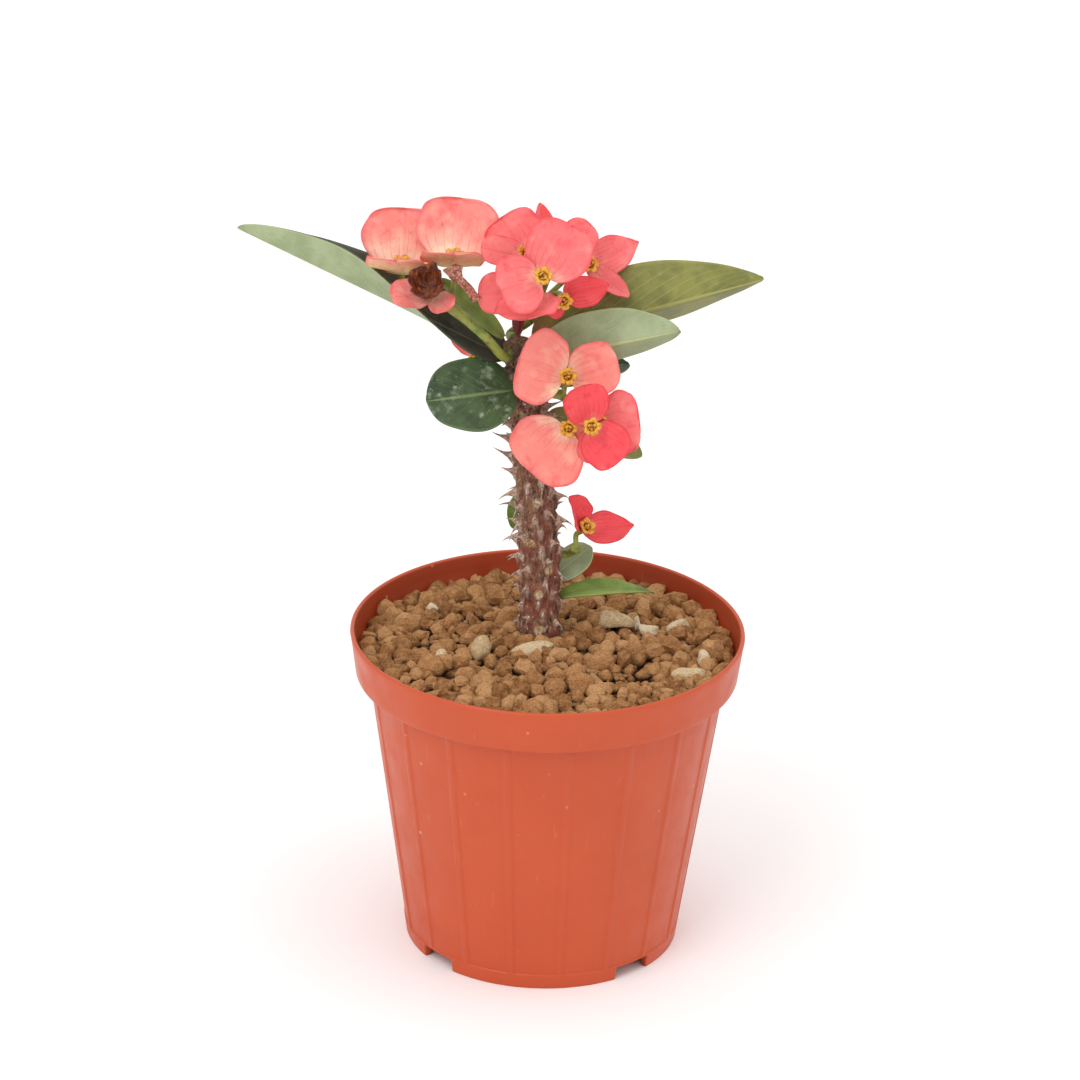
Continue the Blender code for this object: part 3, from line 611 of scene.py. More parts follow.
def bark_mesh():
    """A ring carried up the axis. The bark stands out in a long swelling under each thorn, in a raised rim
    round each scar, in knobs a few millimetres across, and in fibres: forty waves of random slant, long up
    the stem and short round it."""
    up = np.linspace(-stem_buried / stem_height, 1.0, 300)[:, None]
    azimuth = np.linspace(0, 360, 121)[None, :-1]
    thorn = round_stem(up, azimuth, thorn_up - 0.006, thorn_azimuth, 3.4 * mm, 1.5 * mm)
    scar = round_stem(up, azimuth, scar_up, scar_azimuth, 1.7 * mm, 1.7 * mm)
    fibre_waves = 40
    fibre = np.zeros(np.broadcast(up, azimuth).shape)
    for number in range(fibre_waves):
        waves = rng.integers(3, 22)
        rise = rng.normal(0, 0.9) * waves / stem_radius
        wave = np.sin(np.radians(azimuth) * waves + rise * up * stem_height + rng.uniform(0, math.tau))
        fibre += wave / math.sqrt(fibre_waves)
    knobs = np.sin(up * stem_height / (1.7 * mm) + 2 * np.sin(3 * np.radians(azimuth))) * np.sin(
        4 * np.radians(azimuth) + 2 * np.sin(up * stem_height / (3.1 * mm)))
    off = 1.0 * mm * thorn + (0.2 * mm * fibre + 0.35 * mm * knobs) * (1 - scar)
    off = off + 0.8 * mm * np.sin(math.pi * np.clip(scar * 1.3, 0, 1))
    tip = np.sqrt(np.clip((1.0 - up) / 0.02, 0.0, 1.0))
    girth = (stem_girth(up) - 0.35 * mm + off) * tip
    points = stem_axis(up) + out_from(azimuth) * girth[..., None]
    return solid_skin("bark", points, around=True, weld=True, thorn=thorn, scar=scar)


def bark():
    """Brown bark in a net of pale fibres over dark gaps, redder near the soil and greenish under the crown;
    pale streaks run down from the thorns, and the scars are tan."""
    made, tree, where = finish("bark")
    along = stretched(tree, where, (1, 1, 0.4))
    fibre = cloud(tree, along, 0.9 * mm, 6.0, 0.72)
    net = cloud(tree, along, 2.4 * mm, 4.0, 0.6)
    colour = over(tree, paint(52, 32, 26), paint(138, 96, 76), fibre, 0.36, 0.56)
    colour = over(tree, colour, paint(200, 168, 146), fibre, 0.54, 0.66, 0.9)
    colour = over(tree, colour, paint(150, 104, 62), net, 0.50, 0.62, 0.55)
    height = parted(tree, where)[2]
    red = times(tree, between(tree, height, 150 * mm, 112 * mm, 0.15, 0.75),
               between(tree, cloud(tree, where, 6 * mm), 0.44, 0.6))
    colour = mixed(tree, red, colour, paint(142, 66, 54))
    green = times(tree, between(tree, height, 160 * mm, 195 * mm),
                 between(tree, cloud(tree, where, 6 * mm), 0.4, 0.6))
    colour = mixed(tree, times(tree, green, 0.6), colour, paint(92, 96, 50))
    pale = times(tree, between(tree, attribute(tree, "thorn"), 0.40, 0.95),
                between(tree, cloud(tree, along, 1.3 * mm, 5.0, 0.7), 0.40, 0.58))
    colour = mixed(tree, times(tree, pale, 0.5), colour, paint(202, 180, 160))
    scar = between(tree, attribute(tree, "scar"), 0.35, 0.75)
    colour = mixed(tree, scar, colour,
                   mixed(tree, between(tree, fibre, 0.4, 0.6), paint(150, 104, 70), paint(232, 204, 160)))
    dots = place(tree, "TexVoronoi", {"Vector": where, "Scale": 1 / (2.4 * mm)}).outputs["Distance"]
    specks = times(tree, between(tree, dots, 0.17, 0.08), between(tree, cloud(tree, where, 5 * mm), 0.5, 0.6))
    colour = mixed(tree, specks, colour, paint(236, 230, 222))
    relief = sums(tree, "MULTIPLY_ADD", cloud(tree, where, 0.5 * mm), 0.4, fibre)
    return rough(made, colour, 0.75, relief, 0.9 * mm)


stem_bark = bark()
piece("stem_bark", bark_mesh(), stem_bark, slot="bark", stands_for=["main_stem"])


def thorns():
    """Every thorn in one mesh. Its foot is a ridge, long up the stem and narrow round it, which shrinks with
    (1 - t)^4; from it a thin round spine runs out to a sharp point. The spine's line bends down or up with
    t^2.4, and to one side with t^1.6."""
    t = np.linspace(0, 1, 12)[None, :, None]
    turn = np.linspace(0, math.tau, 11)[None, None, :-1]
    each = (slice(None), None, None)
    aged = 0.62 + 0.75 * eased(thorn_up, 0.05, 0.55)
    length = (rng.uniform(4.4, 6.6, thorn_count) * aged)[each] * mm
    hook = rng.choice([-1.3, -0.9, -0.4, 0.3], thorn_count)[each] * rng.uniform(0.3, 0.6, thorn_count)[each]
    rise = rng.uniform(-0.1, 0.4, thorn_count)[each]
    side = rng.normal(0, 0.2, thorn_count)[each]
    shrink = (1 - t) ** 4
    broad = rng.uniform(0.8, 1.3, thorn_count)[each]
    tall = 2.5 * mm * shrink * broad + 0.36 * mm * (1 - t ** 3)
    wide = 1.0 * mm * shrink + 0.30 * mm * (1 - t ** 3)
    out = length * t * (1 - 0.16 * t) + 0 * turn
    up = length * (rise * t + hook * t ** 2.4) - 0.9 * mm * shrink * broad + tall * np.cos(turn)
    across = length * side * t ** 1.6 + wide * np.sin(turn)
    first = np.zeros((thorn_count, 1, turn.shape[-1]))
    out = np.concatenate([first, out], 1)
    up = np.concatenate([first, up], 1)
    across = np.concatenate([first, across], 1)
    start = on_stem(thorn_up, thorn_azimuth, -0.4 * mm)[:, None, None, :]
    ahead = out_from(thorn_azimuth)[:, None, None, :]
    beside = out_from(thorn_azimuth + 90)[:, None, None, :]
    upward = np.array([0, 0, 1.0]) * up[..., None]
    points = start + ahead * out[..., None] + beside * across[..., None] + upward
    share = np.concatenate([[0], t[0, :, 0]])[None, :, None] + 0 * points[..., 0]
    age = thorn_up[each] + 0 * share
    tone = rng.uniform(0, 1, thorn_count)[each] + 0 * share
    return many_skins("thorns", points, share=share, age=age, tone=tone)


def thorn_horn():
    """Beige horn, streaked and of uneven tone, browner at the foot and the point, and dark on the youngest
    thorns near the tip of the stem."""
    made, tree, where = finish("thorn_horn")
    streak = cloud(tree, where, 0.9 * mm, 5.0, 0.7)
    colour = over(tree, paint(126, 92, 76), paint(208, 186, 166), streak, 0.38, 0.60)
    share = attribute(tree, "share")
    colour = over(tree, colour, paint(136, 100, 84), share, 0.10, 0.0, 0.7)
    colour = over(tree, colour, paint(120, 98, 86), share, 0.55, 1.0, 0.8)
    colour = over(tree, colour, paint(146, 112, 94), attribute(tree, "tone"), 0.3, 1.0, 0.5)
    young = between(tree, attribute(tree, "age"), 0.72, 0.86, 0.0, 0.85)
    colour = mixed(tree, young, colour, paint(58, 46, 36))
    return rough(made, colour, 0.55, streak, 0.2 * mm)


piece("thorns", thorns(), thorn_horn(), slot="bark")


# ---------------------------------------------------------------- leaves
# Thick smooth leaves, dark green above with a waxy bloom and pale grey-green below, with a straight midrib
# and fine side veins. Each grows straight out of the stem, tapers to its foot and is folded along its midrib.

leaf_thickness = 0.55 * mm
shoot_thickness = 0.5 * mm


def blade(length, width, base, fullness, bend, fold, fold_tip, twist, cup, ruffle, cells, taper=0.0,
          late=1.0):
    """A leaf or bract along X, its upper side up, over a share s along it and v from -1 to 1 across it. With
    u = (1 - cos pi s) / 2, it is length u long and width sin(pi s^late)^fullness (1 - taper u^4) wide, never
    narrower than a line from its base width to its point. Each side is raised by its fold angle, and by the
    cup and the ruffle, which grow with v^2 and |v|^3; the whole is turned about the midrib by twist u, and
    bent down by bend u^2."""
    s = np.linspace(0, 1, cells[0])[:, None]
    v = np.linspace(-1, 1, cells[1])[None, :]
    u = (1 - np.cos(np.pi * s)) / 2
    half = width / 2 * np.maximum(np.sin(np.pi * s ** late), 0) ** fullness * (1 - taper * u ** 4)
    half = np.maximum(half, (base * (1 - u) + 0.2 * mm * u) / 2)
    half = half * (1 + 0.02 * np.sin(5 * np.pi * s + 2 * v + 40 * length / width))
    angle = np.radians(fold + (fold_tip - fold) * u)
    phase = 9 * length / width
    wave = np.sin(2 * np.pi * (2.1 * s + 0.2 * v) + phase)
    wave = wave + 0.5 * np.sin(2 * np.pi * (4.3 * s - 0.3 * v) + 2 * phase)
    wave = ruffle * width * wave * np.maximum(np.abs(v) ** 3, s ** 6) * np.sin(np.pi * np.minimum(s, 0.5))
    across = v * half * np.cos(angle)
    rise = np.abs(v) * half * np.sin(angle) + cup * half * v * v + wave
    rise = rise * np.abs(v) / (np.abs(v) + 0.06)
    turn = np.radians(twist) * u
    return np.stack([
        length * u + 0 * v,
        across * np.cos(turn) - rise * np.sin(turn),
        across * np.sin(turn) + rise * np.cos(turn) - bend * length * u * u,
    ], -1)


def set_down(points, place_and_turn):
    """The points moved by a 4 by 4 matrix."""
    matrix = np.array(place_and_turn)
    return points @ matrix[:3, :3].T + matrix[:3, 3]


def turned_to(roll, pitch, heading):
    """Turned about X, then Y, then Z."""
    return (Matrix.Rotation(math.radians(heading), 4, "Z") @ Matrix.Rotation(math.radians(pitch), 4, "Y")
            @ Matrix.Rotation(math.radians(roll), 4, "X"))


def sheet(name, lattice, stand, thickness, *finishes, far_side=0, **marks):
    """A blade set down in its place as a piece of that thickness, half to each side. The far side wears the
    finish that many places on."""
    made = piece(name, solid_skin(name, set_down(lattice, stand)), *finishes, **marks)
    wall = made.modifiers.new("thickness", "SOLIDIFY")
    wall.thickness = thickness
    wall.offset = 0.0
    wall.material_offset = far_side


def vein_pattern():
    """A group that gives the veins of a blade: the midrib, and side veins that leave it and curve to the
    tip."""
    group = bpy.data.node_groups.new("blade_veins", "ShaderNodeTree")
    for name, kind in (("Lattice", "NodeSocketVector"), ("Side veins", "NodeSocketFloat"),
                       ("Slant", "NodeSocketFloat")):
        group.interface.new_socket(name=name, in_out="INPUT", socket_type=kind)
    for name in ("Midrib", "Veins", "Edge"):
        group.interface.new_socket(name=name, in_out="OUTPUT", socket_type="NodeSocketFloat")
    entry, exit_ = group.nodes.new("NodeGroupInput"), group.nodes.new("NodeGroupOutput")
    parts = parted(group, entry.outputs["Lattice"])
    off = sums(group, "ABSOLUTE", sums(group, "MULTIPLY_ADD", parts[1], 2.0, -1.0))
    slanted = sums(group, "SUBTRACT", parts[0], times(group, off, entry.outputs["Slant"]))
    beat = sums(group, "PINGPONG", times(group, slanted, entry.outputs["Side veins"]), 0.5)
    group.links.new(between(group, off, 0.075, 0.02), exit_.inputs["Midrib"])
    fade = between(group, off, 1.0, 0.55)
    group.links.new(times(group, between(group, beat, 0.13, 0.02), fade), exit_.inputs["Veins"])
    group.links.new(between(group, off, 0.9, 1.0), exit_.inputs["Edge"])
    return group


veins = vein_pattern()


def leaf_side(name, deep, plain, rib, bloom, bloom_share, foot, gloss, vein_share):
    """One side of a leaf: green in two tones, with paler veins, spots of waxy bloom, a thin paler margin and
    a tinge of another colour at its foot."""
    made, tree, where = finish(name)
    lattice = lattice_share(tree)
    colour = over(tree, deep, plain, cloud(tree, where, 9 * mm, 5.0, 0.6), 0.35, 0.65)
    vein = place(tree, "Group", {"Lattice": lattice, "Side veins": 13.0, "Slant": 0.35}, node_tree=veins)
    colour = mixed(tree, times(tree, vein.outputs["Veins"], vein_share), colour, rib)
    colour = mixed(tree, times(tree, vein.outputs["Midrib"], 0.8), colour, rib)
    spots = place(tree, "TexVoronoi", {"Vector": where, "Scale": 1 / (1.7 * mm)}).outputs["Distance"]
    patches = between(tree, cloud(tree, where, 6 * mm, 4.0), 0.42, 0.62)
    blotches = between(tree, cloud(tree, where, 3.4 * mm, 3.0, 0.5), 0.52, 0.72)
    waxy = sums(tree, "MAXIMUM", times(tree, between(tree, spots, 0.22, 0.06, 0.0, 0.7), patches),
                times(tree, blotches, patches))
    colour = mixed(tree, times(tree, waxy, bloom_share), colour, bloom)
    colour = mixed(tree, times(tree, vein.outputs["Edge"], 0.35), colour, rib)
    start = parted(tree, lattice)[0]
    colour = over(tree, colour, foot, start, 0.30, 0.02, 0.8)
    relief = sums(tree, "MULTIPLY_ADD", vein.outputs["Midrib"], 1.2, times(tree, vein.outputs["Veins"], 0.35))
    relief = sums(tree, "MULTIPLY_ADD", cloud(tree, where, 0.7 * mm), 0.25, relief)
    return rough(made, colour, between(tree, waxy, 0.0, 1.0, gloss, 0.75), relief, 0.22 * mm)


dark_top = leaf_side("leaf_dark_top", paint(46, 66, 38), paint(70, 94, 58), paint(118, 140, 90),
                     paint(168, 182, 156), 0.8, paint(60, 74, 40), 0.42, 0.2)
# A darker, browner copy of the upper side with little bloom: painted shade for a leaf lying in the flowers'
# shadow.
painted_shade_top = leaf_side("leaf_shade_top", paint(44, 46, 34), paint(62, 66, 48), paint(92, 98, 66),
                      paint(150, 160, 140), 0.25, paint(58, 44, 34), 0.45, 0.15)
grey_under = leaf_side("leaf_grey_under", paint(136, 150, 110), paint(156, 168, 128), paint(186, 188, 134),
                       paint(206, 212, 184), 0.12, paint(150, 160, 96), 0.55, 0.22)
# A yellow-olive side, under the right back leaf and on both sides of the small right leaf: partly their own
# paler green, partly painted light shining through them.
olive_painted_backlight = leaf_side("leaf_olive_under", paint(104, 106, 46), paint(130, 130, 60), paint(170, 166, 92),
                        paint(200, 204, 158), 0.16, paint(150, 92, 58), 0.5, 0.25)
fresh_side = leaf_side("leaf_fresh", paint(92, 116, 46), paint(126, 148, 66), paint(160, 172, 90),
                       paint(190, 200, 150), 0.15, paint(120, 120, 60), 0.45, 0.25)
red_side = leaf_side("leaf_red_shoot", paint(84, 26, 34), paint(116, 40, 44), paint(140, 70, 60),
                     paint(170, 110, 100), 0.1, paint(96, 84, 44), 0.45, 0.2)


def leaf(name, top, under, up, azimuth, heading, pitch, roll, length, width,
         bend=0.0, fold=10.0, fold_tip=None, twist=0.0, ruffle=0.012, taper=0.3):
    """A leaf on the stem, its midrib leaving in a direction and at a slope, rolled about itself."""
    lattice = blade(length * mm, width * mm, 2.0 * mm, 0.9, bend, fold,
                    fold if fold_tip is None else fold_tip,
                    twist, 0.0, ruffle, (72, 33), taper)
    stand = Matrix.Translation(on_stem(up, azimuth, 0.0)) @ turned_to(roll, -pitch, heading)
    sheet(name + "_blade", lattice, stand, leaf_thickness, top, under, far_side=1, slot="leaf",
          stands_for=[name])


# The long left leaf's upper side wears painted shade, where the flowers shadow it.
leaf("leaf_long_left", painted_shade_top, grey_under, below_tip(6.8), 176, 174, 24, -40, 88, 25,
     fold=25, fold_tip=74, twist=86, taper=0.5)
leaf("leaf_right_back", dark_top, olive_painted_backlight, below_tip(2.9), 30, 5, 16, -78, 71, 31, fold=42, taper=0.6)
leaf("leaf_right_front", dark_top, grey_under, below_tip(6.8), -30, -9, 17, -80, 45, 24, fold=40, taper=0.5)
leaf("leaf_front_left", dark_top, grey_under, below_tip(15.5), 235, 205, 2, -52, 28, 23, bend=0.05, fold=6,
     taper=0.0)
leaf("leaf_right_middle", dark_top, grey_under, below_tip(15.5), 20, 15, 18, 10, 27, 18, bend=0.2)
leaf("leaf_right_small", olive_painted_backlight, olive_painted_backlight, below_tip(26.2), 15, 5, -18, 30, 32, 14, bend=0.15)
leaf("leaf_behind_stem", fresh_side, fresh_side, below_tip(53), 118, 116, -58, 43, 18, 8.5)
leaf("leaf_basal_round", grey_under, grey_under, above_soil(16.5), 50, 20, 35, 20, 15, 12, fold=5, taper=0.0)
leaf("leaf_basal_long", fresh_side, fresh_side, above_soil(11.5), 15, -5, 24, 20, 27, 8, bend=0.4, fold=20,
     taper=0.9)
leaf("leaf_young", fresh_side, fresh_side, below_tip(0.5), 180, 173, 42, -40, 26, 7, fold=25)
shoot = blade(12 * mm, 5 * mm, 2.0 * mm, 1.2, 0.0, 30, 30, 0.0, 0.0, 0.0, (32, 15))
shoot_stand = Matrix.Translation(stem_axis(1.0) + np.array([0, 0, 0.2 * mm])) @ turned_to(0, -80, 60)
sheet("crown_shoot_blade", shoot, shoot_stand, shoot_thickness, red_side, red_side, slot="young_leaf",
      stands_for=["crown_shoot"])


# ---------------------------------------------------------------- bracts
# What look like petals are pairs of bracts: broad, thin and soft, coral pink with a creamy foot and a redder
# rim. Each pair sits on the end of its own thin stalk, one bract a step below the other.

pedicel_radius = 0.9 * mm
bract_thickness = 0.3 * mm


def bract_skin(name, foot, middle, body, rim, cream):
    """Cream at the foot over a share of the length, turning to pink and then redder in clouds and towards the
    margin, with paler patches of painted sheen and thin veins that fan out."""
    made, tree, where = finish(name)
    lattice = lattice_share(tree)
    parts = parted(tree, lattice)
    along, off = parts[0], sums(tree, "ABSOLUTE", sums(tree, "MULTIPLY_ADD", parts[1], 2.0, -1.0))
    blush = sums(tree, "MULTIPLY_ADD", cloud(tree, where, 7 * mm, 4.0), 0.9, -0.45)
    shift = sums(tree, "ADD", sums(tree, "ADD", along, blush), times(tree, off, 0.12))
    colour = mixed(tree, between(tree, shift, 0.35 * cream, cream), foot, middle)
    colour = mixed(tree, between(tree, shift, 0.8 * cream, 1.6 * cream + 0.1), colour, body)
    redder = between(tree, cloud(tree, where, 4 * mm, 5.0, 0.6), 0.50, 0.70, 0.0, 0.55)
    colour = mixed(tree, times(tree, redder, between(tree, along, 0.2, 0.7)), colour, rim)
    # Painted sheen: paler patches of the middle pink.
    painted_sheen = between(tree, cloud(tree, where, 5.5 * mm, 2.0), 0.52, 0.70, 0.0, 0.30)
    colour = mixed(tree, painted_sheen, colour, middle)
    margin = sums(tree, "MAXIMUM", between(tree, off, 0.86, 1.0), between(tree, along, 0.91, 1.0))
    colour = mixed(tree, times(tree, margin, 0.6), colour, rim)
    fan = sums(tree, "PINGPONG", times(tree, parts[1], 9.0), 0.5)
    fan = times(tree, between(tree, fan, 0.07, 0.0), between(tree, along, 0.9, 0.3))
    vein = place(tree, "Group", {"Lattice": lattice, "Side veins": 7.0, "Slant": 0.5}, node_tree=veins)
    streaks = sums(tree, "MAXIMUM", fan, vein.outputs["Midrib"])
    colour = mixed(tree, times(tree, streaks, 0.14), colour, rim)
    relief = sums(tree, "MULTIPLY_ADD", cloud(tree, where, 2.0 * mm, 4.0), 1.0, times(tree, streaks, 0.3))
    return rough(made, colour, 0.55, relief, 0.35 * mm,
                 {"Specular IOR Level": 0.3, "Subsurface Weight": 0.25, "Subsurface Scale": 0.003})


pale_coral = bract_skin("bract_pale_coral", paint(250, 224, 196), paint(247, 186, 168), paint(240, 134, 126),
                        paint(220, 84, 92), 0.42)
# The coral made paler and lighter all through: painted light for the front flowers, which face sideways to
# the lamps.
painted_lit_coral = bract_skin("bract_front_coral", paint(252, 226, 176), paint(252, 182, 160),
                         paint(248, 136, 126), paint(232, 90, 96), 0.22)
coral = bract_skin("bract_coral", paint(248, 212, 178), paint(248, 164, 150), paint(241, 116, 116),
                   paint(226, 74, 86), 0.20)
red = bract_skin("bract_red", paint(246, 160, 134), paint(244, 112, 108), paint(238, 80, 86),
                 paint(206, 44, 60), 0.14)
under_cream = bract_skin("bract_under", paint(222, 196, 140), paint(226, 172, 138), paint(230, 134, 120),
                         paint(216, 82, 88), 0.75)


def bract(spin, tilt, length, width, fold=0.0, cupped=0.1, taper=0.0):
    """A bract turned by spin about the stalk and tilted forward; its size, fold, cup and taper."""
    return spin, tilt, length, width, fold, cupped, taper


def flower_stand(cluster_up, offset, heading, elevation):
    """The frame of a flower: its origin on the end of the stalk, its Z the way that the flower looks."""
    at = Vector(stem_axis(cluster_up)) + Vector(offset) * mm
    return (Matrix.Translation(at) @ Matrix.Rotation(math.radians(heading + 90), 4, "Z")
            @ Matrix.Rotation(math.radians(90 - elevation), 4, "X"))


def flower(name, cluster_up, offset, heading, elevation, bracts, skin, under=None):
    """The bracts of one flower. Returns its frame."""
    stand = flower_stand(cluster_up, offset, heading, elevation)
    for number, (spin, tilt, length, width, fold, cupped, taper) in enumerate(bracts):
        part = f"flower_{name}_bract_{number + 1}"
        lattice = blade(length * mm, width * mm, 1.6 * mm, 0.60 + 0.3 * taper, 0.0, fold, fold, 0.0,
                        cupped, 0.032, (48, 41), taper, 1.0 if taper else 1.12)
        foot = Matrix.Rotation(math.radians(spin), 4, "Z") @ Matrix.Translation(
            (pedicel_radius, 0, -1.0 * mm - number * 0.9 * mm))
        sheet(part + "_blade", lattice, stand @ foot @ turned_to(0, -tilt, 0), bract_thickness,
              skin, under or skin, far_side=1, slot="bract", stands_for=[part])
    return stand


def cluster(up, **flowers):
    """The flowers on one stalk, each placed from the same point of the stem."""
    return {name: flower(name, up, *values) for name, values in flowers.items()}


left_up, top_up, front_up, back_up = below_tip(4.4), below_tip(1.9), below_tip(15.5), below_tip(21.3)
low_up = above_soil(26.2)
left = cluster(
    left_up,
    left_outer=((-35.4, 1, 25), -95, 80,
                [bract(92, 55, 18, 24.5, 0, 0.2), bract(-92, 48, 14, 20)], pale_coral, under_cream),
    left_inner=((-19.9, -2, 28.7), -90, 80,
                [bract(83, 52, 19, 24.5, 0, 0.2), bract(-90, 48, 14, 20)], pale_coral, under_cream),
    left_dried=((-26.4, -12, 22.5), -110, 50,
                [bract(215, 30, 12, 11, 0, 0.3), bract(-35, 20, 9, 8, 0, 0.2)], pale_coral),
)
top = cluster(
    top_up,
    top_front=((6.5, -19, 28.1), -85, 30,
               [bract(198, 15, 13, 18, 0, 0.2), bract(58, 18, 17, 20, 0, 0.15)], coral),
    top_left=((2, -9, 31.1), -100, 30,
              [bract(180, 32, 14, 9), bract(130, 10, 13, 18)], coral),
    top_right=((19.5, 6, 22.6), -60, 30,
               [bract(-50, 15, 15, 8, 30, 0, 0.5), bract(12, 10, 18, 12, 10, 0.1, 0.8)], coral),
    top_back=((9.5, 0, 26.1), -90, 35,
              [bract(105, 25, 17, 9, 40, 0, 0.5), bract(45, 5, 15, 12)], coral),
    top_low=((2.5, -13, 20.6), -95, 5,
             [bract(-80, 72, 12, 20), bract(182, 12, 14, 13)], coral),
    top_under=((12.5, -6, 16.6), -80, 0,
               [bract(22, 20, 14, 11, 0, 0.1, 0.7), bract(-120, 20, 6, 6)], red),
)
front = cluster(
    front_up,
    front_upper=((12.4, -13, 8.2), -85, 25,
                 [bract(160, 10, 14.5, 23), bract(15, 15, 15, 16)], painted_lit_coral),
    front_lower=((13.4, -13, -7.8), -95, 12,
                 [bract(230, 10, 17, 24), bract(-30, 10, 5, 5)], painted_lit_coral),
    front_right=((19.4, -22, -3.8), -75, 20,
                 [bract(98, 15, 12, 14, 0, 0.2), bract(-54, 15, 13, 15, 0, 0.2)], red),
    front_back=((22.4, -17, -5.3), -80, 20,
                [bract(5, 10, 11, 19), bract(-100, 10, 11, 12)], coral),
)
back = cluster(
    back_up,
    back=((-14.4, 9, 11), -120, 20,
          [bract(120, 10, 13, 15), bract(-60, 10, 8, 9)], coral),
)
low = cluster(
    low_up,
    low=((13.2, -5, 10.9), -50, 40,
         [bract(120, 40, 13, 12, 35, 0, 0.3), bract(-12, 10, 17, 11, 12, 0.1, 0.85)], red, coral),
)


# ---------------------------------------------------------------- cups
# In the middle of each pair of bracts sits the true flower head: a small green cup with five fleshy yellow
# glands round its mouth and a tuft of stamens in it. Those at the back of the plant have it too.

def cup_lattice():
    """A profile carried round the cup's axis: from the hollow middle up over the glands, then down the
    outside to the foot. The glands reach furthest out where |cos 2.5 a|, a being the direction, is greatest:
    five times a turn."""
    turn = np.linspace(0, math.tau, 61)[:-1, None]
    lobe = np.abs(np.cos(2.5 * turn)) ** 0.7 * (1 + 0.12 * np.sin(11 * turn))
    r = np.array([0, 0.7, 1.05, 1.25, 1.45, 1.8, 2.2, 2.35, 2.2, 1.75, 1.6, 1.45, 1.2, 0.9, 0.0])
    z = np.array([1.7, 1.65, 1.9, 2.3, 2.6, 2.75, 2.7, 2.5, 2.3, 2.2, 1.8, 1.2, 0.5, 0.0, -0.1])
    r, z = r[None, :] * mm, z[None, :] * mm
    gland = np.array([0, 0, 0, 0.1, 0.3, 0.7, 1, 1, 1, 0.5, 0.1, 0, 0, 0, 0])[None, :]
    r = r + 0.75 * mm * gland * (lobe - 0.35)
    z = z + 0.35 * mm * gland * lobe - 0.25 * mm * gland * (1 - lobe)
    return np.stack([r * np.cos(turn), r * np.sin(turn), z + 0 * turn], -1)


def cup_skin():
    """Brown in the hollow, egg-yellow on the glands with a darker inner edge, and yellow-green outside."""
    made, tree, where = finish("cup_gland")
    lattice = lattice_share(tree)
    out = parted(tree, lattice)[1]
    colour = over(tree, paint(132, 84, 30), paint(226, 164, 52), out, 0.16, 0.27)
    colour = over(tree, colour, paint(176, 170, 60), out, 0.56, 0.74)
    colour = over(tree, colour, paint(172, 104, 28), cloud(tree, where, 0.8 * mm), 0.46, 0.62, 0.75)
    return rough(made, colour, 0.38, cloud(tree, where, 0.35 * mm), 0.08 * mm)


def stamen_skin():
    """Orange to egg-yellow pollen, in brown patches."""
    made, tree, where = finish("stamen_pollen")
    colour = mixed(tree, attribute(tree, "tone"), paint(176, 96, 30), paint(248, 196, 72))
    colour = over(tree, colour, paint(120, 64, 26), cloud(tree, where, 0.3 * mm), 0.52, 0.7, 0.5)
    return rough(made, colour, 0.6, cloud(tree, where, 0.25 * mm), 0.1 * mm)


cup_gland, stamen_pollen = cup_skin(), stamen_skin()
stands = {**left, **top, **front, **back, **low}
with_node = ("left_inner", "top_front", "top_left", "top_right", "front_upper", "front_lower", "front_right",
             "low")
stamen_count = 13
stamen_at = []
for name, stand in stands.items():
    if name == "left_dried":
        continue
    mesh = closed_round(f"cup_{name}_glands", set_down(cup_lattice(), stand))
    piece(f"cup_{name}_glands", mesh, cup_gland, slot="flower_cup",
          stands_for=[f"cup_{name}"] if name in with_node else ())
    out = 0.95 * mm * np.sqrt(rng.uniform(0.02, 1, stamen_count))
    turn = rng.uniform(0, math.tau, stamen_count)
    tuft = np.stack([out * np.cos(turn), out * np.sin(turn), rng.uniform(1.9, 3.0, stamen_count) * mm], -1)
    stamen_at.append(set_down(tuft, stand))
stamen_at = np.concatenate(stamen_at)
piece("stamens", lumps("stamens", stamen_at, rng.uniform(0.24, 0.42, len(stamen_at)) * mm,
                       np.ones((len(stamen_at), 3)), 0.1, rng), stamen_pollen, slot="flower_cup")

# One head on the left has finished: its cup has swollen, dried to dark brown and split, and a shrivelled
# bract hangs beside it.


def dried_lattice():
    """A bell carried round its axis, up the outside and back down the inside; its radius is pinched and
    swollen by waves of nine and four to the turn, more so towards the mouth."""
    turn = np.linspace(0, math.tau, 73)[:-1, None]
    r = np.array([0, 1.8, 3.4, 4.8, 5.8, 6.1, 5.7, 4.6, 2.8, 0.0])[None, :] * mm * 0.86
    z = np.array([0, 0.1, 1.0, 3.0, 5.6, 7.4, 7.2, 3.8, 1.8, 1.6])[None, :] * mm
    share = z / z.max()
    r = r * (1 + share * (0.07 * np.cos(9 * turn) + 0.10 * np.cos(4 * turn + 1)))
    z = z + share * 0.5 * mm * np.cos(7 * turn + 2)
    return np.stack([r * np.cos(turn), r * np.sin(turn), z], -1)


def dried_skin():
    """Dark brown, with tan streaks along the cup."""
    made, tree, where = finish("dried_cup")
    streak = cloud(tree, stretched(tree, where, (1, 1, 0.25)), 1.0 * mm, 4.0, 0.7)
    colour = over(tree, paint(50, 20, 16), paint(126, 58, 24), streak, 0.35, 0.6)
    colour = over(tree, colour, paint(196, 120, 52), streak, 0.6, 0.72)
    return rough(made, colour, 0.55, streak, 0.15 * mm)


def shrivelled_skin():
    """Dull pink, brown in its creases."""
    made, tree, where = finish("shrivelled_tissue")
    crease = cloud(tree, where, 0.9 * mm, 5.0, 0.7)
    colour = over(tree, paint(120, 66, 52), paint(214, 148, 126), crease, 0.38, 0.62)
    return rough(made, colour, 0.8, crease, 0.5 * mm)


